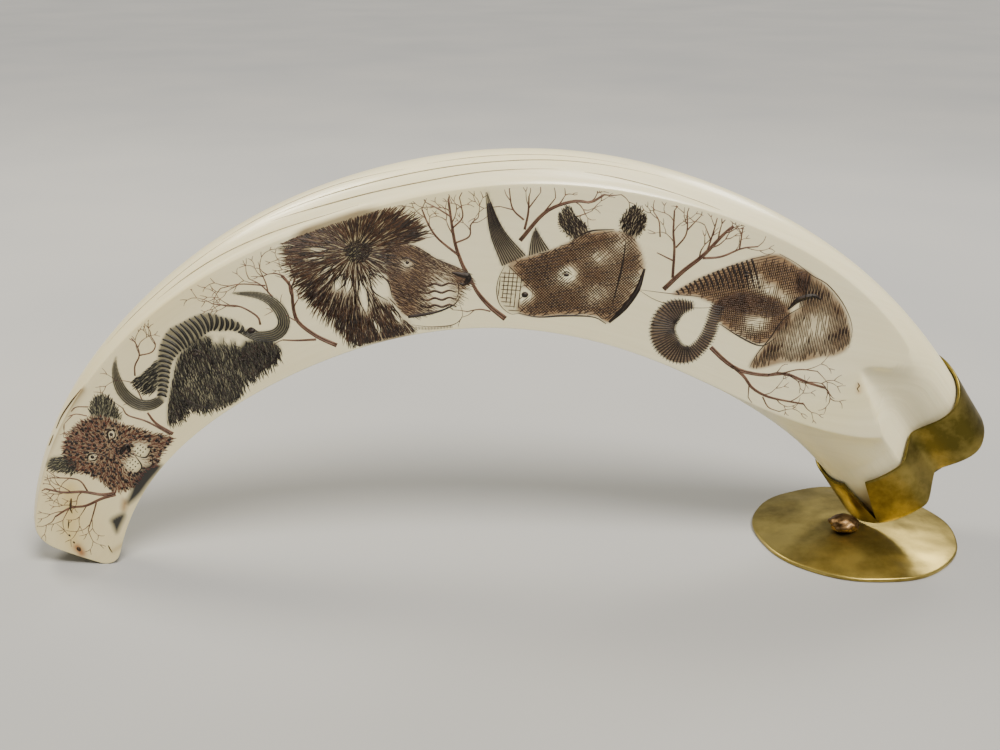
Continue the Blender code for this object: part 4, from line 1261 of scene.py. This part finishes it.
def stained(points, washes):
    """Colour that multiplies the ivory's at (x, z) points of the face: washes of ink, then stains."""
    colour = np.ones(points.shape[:-1] + (3,))
    for outline, tint, strength, softness, base, patches in washes:
        near = ((points > outline.min(axis=0) - 2) & (points < outline.max(axis=0) + 2)).all(axis=-1)
        here = points[near]
        distance = edge_distance(here, outline) * np.where(inside(here, outline), 1, -1)
        amount = np.clip(distance / softness * 0.5 + 0.5, 0, 1) * strength * shade(here, base, patches)
        colour[near] *= 1 - amount[:, None] * (1 - np.array(tint))
    for path, tint, strength, reach in STAINS:
        line = np.array(path + path[::-1])
        low, high = line.min(axis=0) - 3 * reach, line.max(axis=0) + 3 * reach
        near = ((points > low) & (points < high)).all(axis=-1)
        amount = strength * np.exp(-((edge_distance(points[near], line) / reach) ** 2))
        colour[near] *= 1 - amount[:, None] * (1 - np.array(tint))
    return colour


def make_tusk(grid, washes):
    """The tusk of ivory, with its places along and round it, and its stains and painted shade, kept for the
    material.
    """
    place, turn, height, depth = grid
    points = on_section(place, height, depth)
    everything, groups = capped(points)
    piece = new_piece("tusk_of_ivory", new_mesh("tusk_of_ivory", everything, groups), ivory_material(),
                      ["warthog_tusk"])
    around = (turn - turn[:, :1]) * through(HALF_WIDTHS, place / ARC_LENGTH)
    lengthwise = np.stack([place, around, 0 * place], axis=-1).reshape(-1, 3) * MM
    lengthwise = np.concatenate([lengthwise, lengthwise[[0, -1]]])
    point_attribute(piece.data, "lengthwise", "FLOAT_VECTOR", lengthwise)
    stain_and_shade = np.ones(place.shape + (4,))
    face = depth < EDGE_ROUNDING
    stain_and_shade[..., 3] = np.clip((depth - EDGE_ROUNDING) / NATURAL_RUN, 0, 1)
    stain_and_shade[face, :3] = stained(points[face][:, [0, 2]], washes)
    # The tip end is beige, the root end is whiter, and the end inside the cap is dark with dirt.
    worn = np.clip(1 - place / TIP_TINT_REACH, 0, 1)[..., None] ** TIP_TINT_POWER
    cap_shade = np.clip((place - CAP_START - CAP_SHADE_START) / CAP_SHADE_RUN, 0, 1)[..., None]
    for amount, tint in ((worn, TIP_TINT), (cap_shade, CAP_SHADE_TINT)):
        stain_and_shade[..., :3] *= 1 - amount * (1 - np.array(tint))
    stain_and_shade = stain_and_shade.reshape(-1, 4)
    point_attribute(piece.data, "stain_and_shade", "FLOAT_COLOR", np.concatenate([stain_and_shade, stain_and_shade[[0, -1]]]))


def make_drawing():
    """The engraved figures and branches, one piece for each figure and ink. Gives back the washes."""
    inks = {name: ink_material(f"{name}_ink", *colours) for name, colours in INK_COLOURS.items()}
    washes = []
    for figure in (leopard, buffalo, lion, rhino, elephant):
        strokes, figure_washes = figure()
        washes += figure_washes
        for ink in INK_COLOURS:
            lines = [line for kind, line in strokes if kind == ink]
            if lines:
                engraved(f"{figure.__name__}_{ink}", lines, ink, inks[ink])
    engraved("branches", branches([wash[0] for wash in washes]), "twig", inks["twig"])
    dirt = [pen(path, width, (0.5, 1.0, 0.8, 0.4), 14) for path, width in DIRT_LINES]
    engraved("dirt_in_cracks", dirt, "dirt", inks["dirt"], DIRT_MARGIN)
    smears = [(outline_of(points, 40), tint, strength, 0.8, 1.0, []) for points, tint, strength in SMEARS]
    return washes + smears


def foot_top(radius, reach):
    """Height of the foot's upper surface: a shallow dome over a disc of a given radius."""
    return FOOT_SHEET + FOOT_RISE * (1 - (radius / reach) ** 2)


def dents(x, y, reach):
    """Hammer marks: the sum of soft round hollows, and a slow wave in the sheet."""
    angle = HAMMER.uniform(0, 2 * math.pi, HAMMER_MARKS)
    radius = reach * np.sqrt(HAMMER.uniform(0.02, 1.0, HAMMER_MARKS))
    size = HAMMER.uniform(1.8, 4.6, HAMMER_MARKS)
    depth = HAMMER.uniform(0.03, 0.13, HAMMER_MARKS) * size / 3
    total = 0 * x
    for a, r, s, d in zip(angle, radius, size, depth):
        total -= d * np.exp(-((x - r * math.cos(a)) ** 2 + (y - r * math.sin(a)) ** 2) / s**2)
    return total + 0.10 * np.sin(x / 7.0 + 0.5) * np.cos(y / 5.5)


def make_foot():
    """Planished disc: a half outline turned round the centre, with hammer marks and a wavy edge.

    The outline runs from the top's centre to the edge, round it, along the ring that it stands on
    and back under the dome.
    """
    low, high = corners("brass_foot")
    centre = (low + high) / 2
    reach = (high[0] - low[0]) / 2
    inner = reach - FOOT_RING
    top = np.linspace(FOOT_MIDDLE, reach - FOOT_EDGE_ROUND, FOOT_ROWS)
    bend = np.linspace(0, math.pi / 2, 5)[1:]
    under = np.linspace(inner - FOOT_SHEET, FOOT_MIDDLE, FOOT_ROWS // 2)
    edge_top = foot_top(reach, reach)
    radius = np.concatenate([
        top, reach - FOOT_EDGE_ROUND * (1 - np.sin(bend)), reach - FOOT_EDGE_ROUND * (1 - np.cos(bend)),
        [inner], under])
    height = np.concatenate([
        foot_top(top, reach), edge_top - FOOT_EDGE_ROUND * (1 - np.cos(bend)),
        FOOT_EDGE_ROUND * (1 - np.sin(bend)), [0], foot_top(under, reach) - FOOT_SHEET])
    hammered = np.concatenate([np.ones(len(top) + 2), np.linspace(0.8, 0, 6), [0], np.ones(len(under))])
    turn = np.linspace(0, 2 * math.pi, FOOT_COLUMNS + 1)[:-1]
    wave = 1 + 0.006 * np.sin(5 * turn + 0.8) + 0.004 * np.sin(9 * turn)
    spread = radius[:, None] * (1 + (wave - 1) * (radius[:, None] / reach) ** 4)
    x, y = spread * np.cos(turn), spread * np.sin(turn)
    z = height[:, None] + hammered[:, None] * dents(x, y, reach)
    z = np.where(hammered[:, None] * height[:, None] > 0, np.maximum(z, FOOT_LOWEST_DENT), z)
    points = np.stack([x + centre[0], y + centre[1], z], axis=-1)
    mesh = new_mesh("planished_foot", *capped(points))
    material = brass_material("planished_brass", "c2ad62", "7a6a34", 0.34, 16, (0.40, 0.66))
    new_piece("planished_foot", mesh, material, ["brass_foot"])


def wall_points(along, turn, offset):
    """Points of the cap's sheet: the root's surface on an oblique cut, set off outwards."""
    sides = []
    for shift in (-CAP_SLOPE_STEP, 0.0, CAP_SLOPE_STEP):
        angle = turn + shift
        sides.append(section(oblique(along, angle, 0, 1), angle))
    run, rise = sides[2][0] - sides[0][0], sides[2][1] - sides[0][1]
    size = np.hypot(run, rise)
    height, depth = sides[1][0] + offset * rise / size, sides[1][1] - offset * run / size
    return on_section(oblique(along, turn, 0, 1), height, depth)


def make_cap():
    """Folded cap: one sheet round the root with an open wedge-shaped seam, closed by an end plate.

    Rows run from the middle of the plate's outside to its border, along the outer wall to the rim,
    round the rim and back inside. Columns run once round from one side of the seam to the other.
    """
    outside = CAP_CLEARANCE + SHEET
    end = CAP_START + CAP_LENGTH
    seam_start, seam_end = CAP_START - SEAM_OVERRUN, end - SHEET - SEAM_STOP
    bend = np.linspace(0, math.pi / 2, 5)[1:-1]
    outer = np.linspace(end - CAP_CORNER, CAP_START + SHEET / 2, CAP_ROWS)
    lip = np.linspace(0, math.pi, RIM_ROWS + 2)[1:-1]
    inner = np.linspace(CAP_START + SHEET / 2, end - SHEET, CAP_ROWS)
    # Each row: distance along, offset, and how far it is drawn in towards the plate's middle.
    rows = [(end, outside - CAP_CORNER, share) for share in np.linspace(PLATE_MIDDLE, 1, PLATE_ROWS)]
    rows += [(end - CAP_CORNER * (1 - math.cos(b)), outside - CAP_CORNER * (1 - math.sin(b)), 1)
             for b in bend]
    rows += [(a, outside, 1) for a in outer]
    rows += [(CAP_START + SHEET / 2 * (1 - math.sin(t)), CAP_CLEARANCE + SHEET / 2 * (1 + math.cos(t)), 1)
             for t in lip]
    rows += [(a, CAP_CLEARANCE, 1) for a in inner]
    rows += [(end - SHEET, CAP_CLEARANCE, share) for share in np.linspace(1, PLATE_MIDDLE, PLATE_ROWS)[1:]]
    along, offset, share = [np.array(column)[:, None] for column in zip(*rows)]
    open_share = np.clip((seam_end - along) / (seam_end - seam_start), 0, None)
    gap = SEAM_WIDTH / 2 * open_share / through(HALF_THICKNESSES, np.ones_like(along))
    seam = math.radians(SEAM_ANGLE)
    turn = seam + gap + (2 * math.pi - 2 * gap) * np.linspace(0, 1, CAP_COLUMNS)
    points = wall_points(along + 0 * turn, turn, offset + 0 * turn)
    middle = points.mean(axis=1, keepdims=True)
    points = middle + (points - middle) * share[..., None]
    plates = [0, len(rows) - 1]
    everything = np.concatenate([points.reshape(-1, 3), [points[row].mean(axis=0) for row in plates]])
    last = CAP_COLUMNS - 1
    first_open = PLATE_ROWS + len(bend)
    first_back = first_open + CAP_ROWS + RIM_ROWS
    walls, backs, rims = [
        [[row * CAP_COLUMNS + column for row in range(start, stop)] for column in (0, last)]
        for start, stop in ((first_open, first_open + CAP_ROWS), (first_back, first_back + CAP_ROWS),
                            (first_open + CAP_ROWS - 1, first_back + 1))]
    mesh = bpy.data.meshes.new("folded_cap")
    faces = grid_faces(len(rows), CAP_COLUMNS, False).tolist()
    for wall, back, rim in zip(walls, backs, rims):
        back = back[::-1]
        faces += [[wall[i], wall[i + 1], back[i + 1], back[i]] for i in range(CAP_ROWS - 1)]
        faces.append(rim)
    for centre, row in zip((len(everything) - 2, len(everything) - 1), plates):
        faces += [[centre, row * CAP_COLUMNS + c, row * CAP_COLUMNS + c + 1] for c in range(last)]
    mesh.from_pydata((everything * MM).tolist(), [], faces)
    edit = bmesh.new()
    edit.from_mesh(mesh)
    bmesh.ops.remove_doubles(edit, verts=edit.verts, dist=0.002 * MM)
    bmesh.ops.dissolve_degenerate(edit, edges=edit.edges, dist=0.001 * MM)
    bmesh.ops.recalc_face_normals(edit, faces=edit.faces)
    edit.to_mesh(mesh)
    edit.free()
    material = brass_material("folded_brass", "9c8a4a", "5e5424", 0.34, 11, (0.36, 0.62))
    piece = new_piece("folded_cap", mesh, material, ["brass_cap"])
    piece.data.set_sharp_from_angle(angle=math.radians(50))


def make_solder():
    """Lump of solder: a bumpy ball whose lower rim spreads out over the foot."""
    low, high = corners("solder_joint")
    centre, half = (low + high) / 2, (high - low) / 2
    fall = np.linspace(SOLDER_POLE, math.pi - SOLDER_POLE, SOLDER_ROWS)[:, None]
    turn = np.linspace(0, 2 * math.pi, SOLDER_COLUMNS + 1)[:-1]
    bump = 1 + 0.07 * np.sin(3 * turn + 4 * fall) * np.sin(fall)
    bump += 0.05 * np.sin(7 * turn + 1.3) * np.sin(5 * fall)
    bump += 0.035 * np.sin(11 * turn + 3 * fall + 0.4) * np.sin(9 * fall) * np.sin(fall)
    spread = 1 + 0.30 * np.exp(-((np.cos(fall) + 1.0) / 0.35) ** 2)
    x = centre[0] + half[0] * 0.92 * np.sin(fall) * np.cos(turn) * bump * spread
    y = centre[1] + half[1] * 0.92 * np.sin(fall) * np.sin(turn) * bump * spread
    z = centre[2] + half[2] * np.cos(fall) * (0.94 + 0.06 * bump)
    mesh = new_mesh("soft_solder", *capped(np.stack([x, y, z], axis=-1)))
    material = brass_material("soft_solder", "7c6344", "3f2e1c", 0.46, 2.4, (0.40, 0.64))
    new_piece("soft_solder_lump", mesh, material, ["solder_joint"])


def corners(node):
    """Lowest and highest corner of a solid, in millimetres."""
    return [np.array(corner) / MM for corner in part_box(node)]


def make_camera():
    """Camera at the photograph's place, looking down on the ornament from the front."""
    data = bpy.data.cameras.new("camera")
    data.lens = CAMERA_LENS
    data.sensor_width = SENSOR
    data.clip_start = 0.01
    camera = bpy.data.objects.new("camera", data)
    camera.location = [v * MM for v in CAMERA_PLACE]
    camera.rotation_euler = (math.radians(90 - CAMERA_DOWN), 0, math.radians(-CAMERA_ASIDE))
    bpy.context.scene.collection.objects.link(camera)
    bpy.context.scene.camera = camera


def make_floor():
    """Plain pale floor."""
    material, shader = new_material("pale_floor", Roughness=0.75, Specular_IOR_Level=0.1)
    place = add_node(material, "ShaderNodeTexCoord")
    noise = add_node(material, "ShaderNodeTexNoise", {"Scale": 6.0}, {"Vector": place.outputs["Object"]})
    join(material, two_colours(material, noise.outputs["Fac"], (0.3, "9fa0a2"), (0.7, "a7a7a7")), shader,
         "Base Color")
    half = FLOOR_SIZE / 2
    square = ((-half, -half), (half, -half), (half, half), (-half, half))
    points = np.array([(x, y, -FLOOR_DROP) for x, y in square])
    mesh = new_mesh("floor", points, [np.array([(0, 1, 2, 3)])])
    mesh.materials.append(material)
    floor = bpy.data.objects.new("floor", mesh)
    bpy.context.scene.collection.objects.link(floor)


def make_light(name, kind, place, target, strength, colour, size=None, angle=None):
    """Lamp at a place, turned to a target: a square panel of a size, or a sun of an angular width."""
    data = bpy.data.lights.new(name, kind)
    if kind == "AREA":
        data.shape = "SQUARE"
        data.size = size * MM
    else:
        data.angle = math.radians(angle)
    data.energy = strength
    data.color = linear(colour)[:3]
    lamp = bpy.data.objects.new(name, data)
    bpy.context.scene.collection.objects.link(lamp)
    aim = (np.array(target, float) - np.array(place, float)) * MM
    lamp.location = [v * MM for v in place]
    flat = math.hypot(aim[0], aim[1])
    lamp.rotation_euler = (math.atan2(flat, -aim[2]), 0, math.atan2(aim[1], aim[0]) - math.pi / 2)


def make_surroundings():
    """Soft studio light: a broad main light from above, two panels behind, and a sky that is grey low
    down and pale above."""
    world = bpy.data.worlds.new("studio")
    world.use_nodes = True
    place = add_node(world, "ShaderNodeTexCoord")
    axes = add_node(world, "ShaderNodeSeparateXYZ", links={"Vector": place.outputs["Generated"]})
    sky = two_colours(world, axes.outputs["Z"], (0.05, "b0b2b5"), (0.75, "eef0f2"))
    background = world.node_tree.nodes["Background"]
    background.inputs["Strength"].default_value = 0.34
    world.node_tree.links.new(sky, background.inputs["Color"])
    bpy.context.scene.world = world
    make_light("main_light", "SUN", (300, -470, 1000), (0, 0, 0), 5.0, "fff8ea", angle=24)
    make_light("panel_behind", "AREA", (-480, 330, 760), (-40, 0, 60), 7.0, "fff6de", size=300)
    make_light("panel_right", "AREA", (400, 430, 500), (104, 0, 0), 1.6, "fffaf0", size=180)


make_camera()
make_floor()
make_surroundings()
# The tusk's own frame starts at zero, and is then moved so that the tusk stands where the solid does.
ORIGIN = np.zeros(3)
tusk_low = corners("warthog_tusk")[0]
tusk_rows = tusk_grid()
loose = on_section(tusk_rows[0], tusk_rows[2], tusk_rows[3])
ORIGIN = np.array([tusk_low[0] - loose[..., 0].min(), tusk_low[1], tusk_low[2] - loose[..., 2].min()])
make_tusk(tusk_rows, make_drawing())
make_growth_lines()
make_cap()
make_foot()
make_solder()
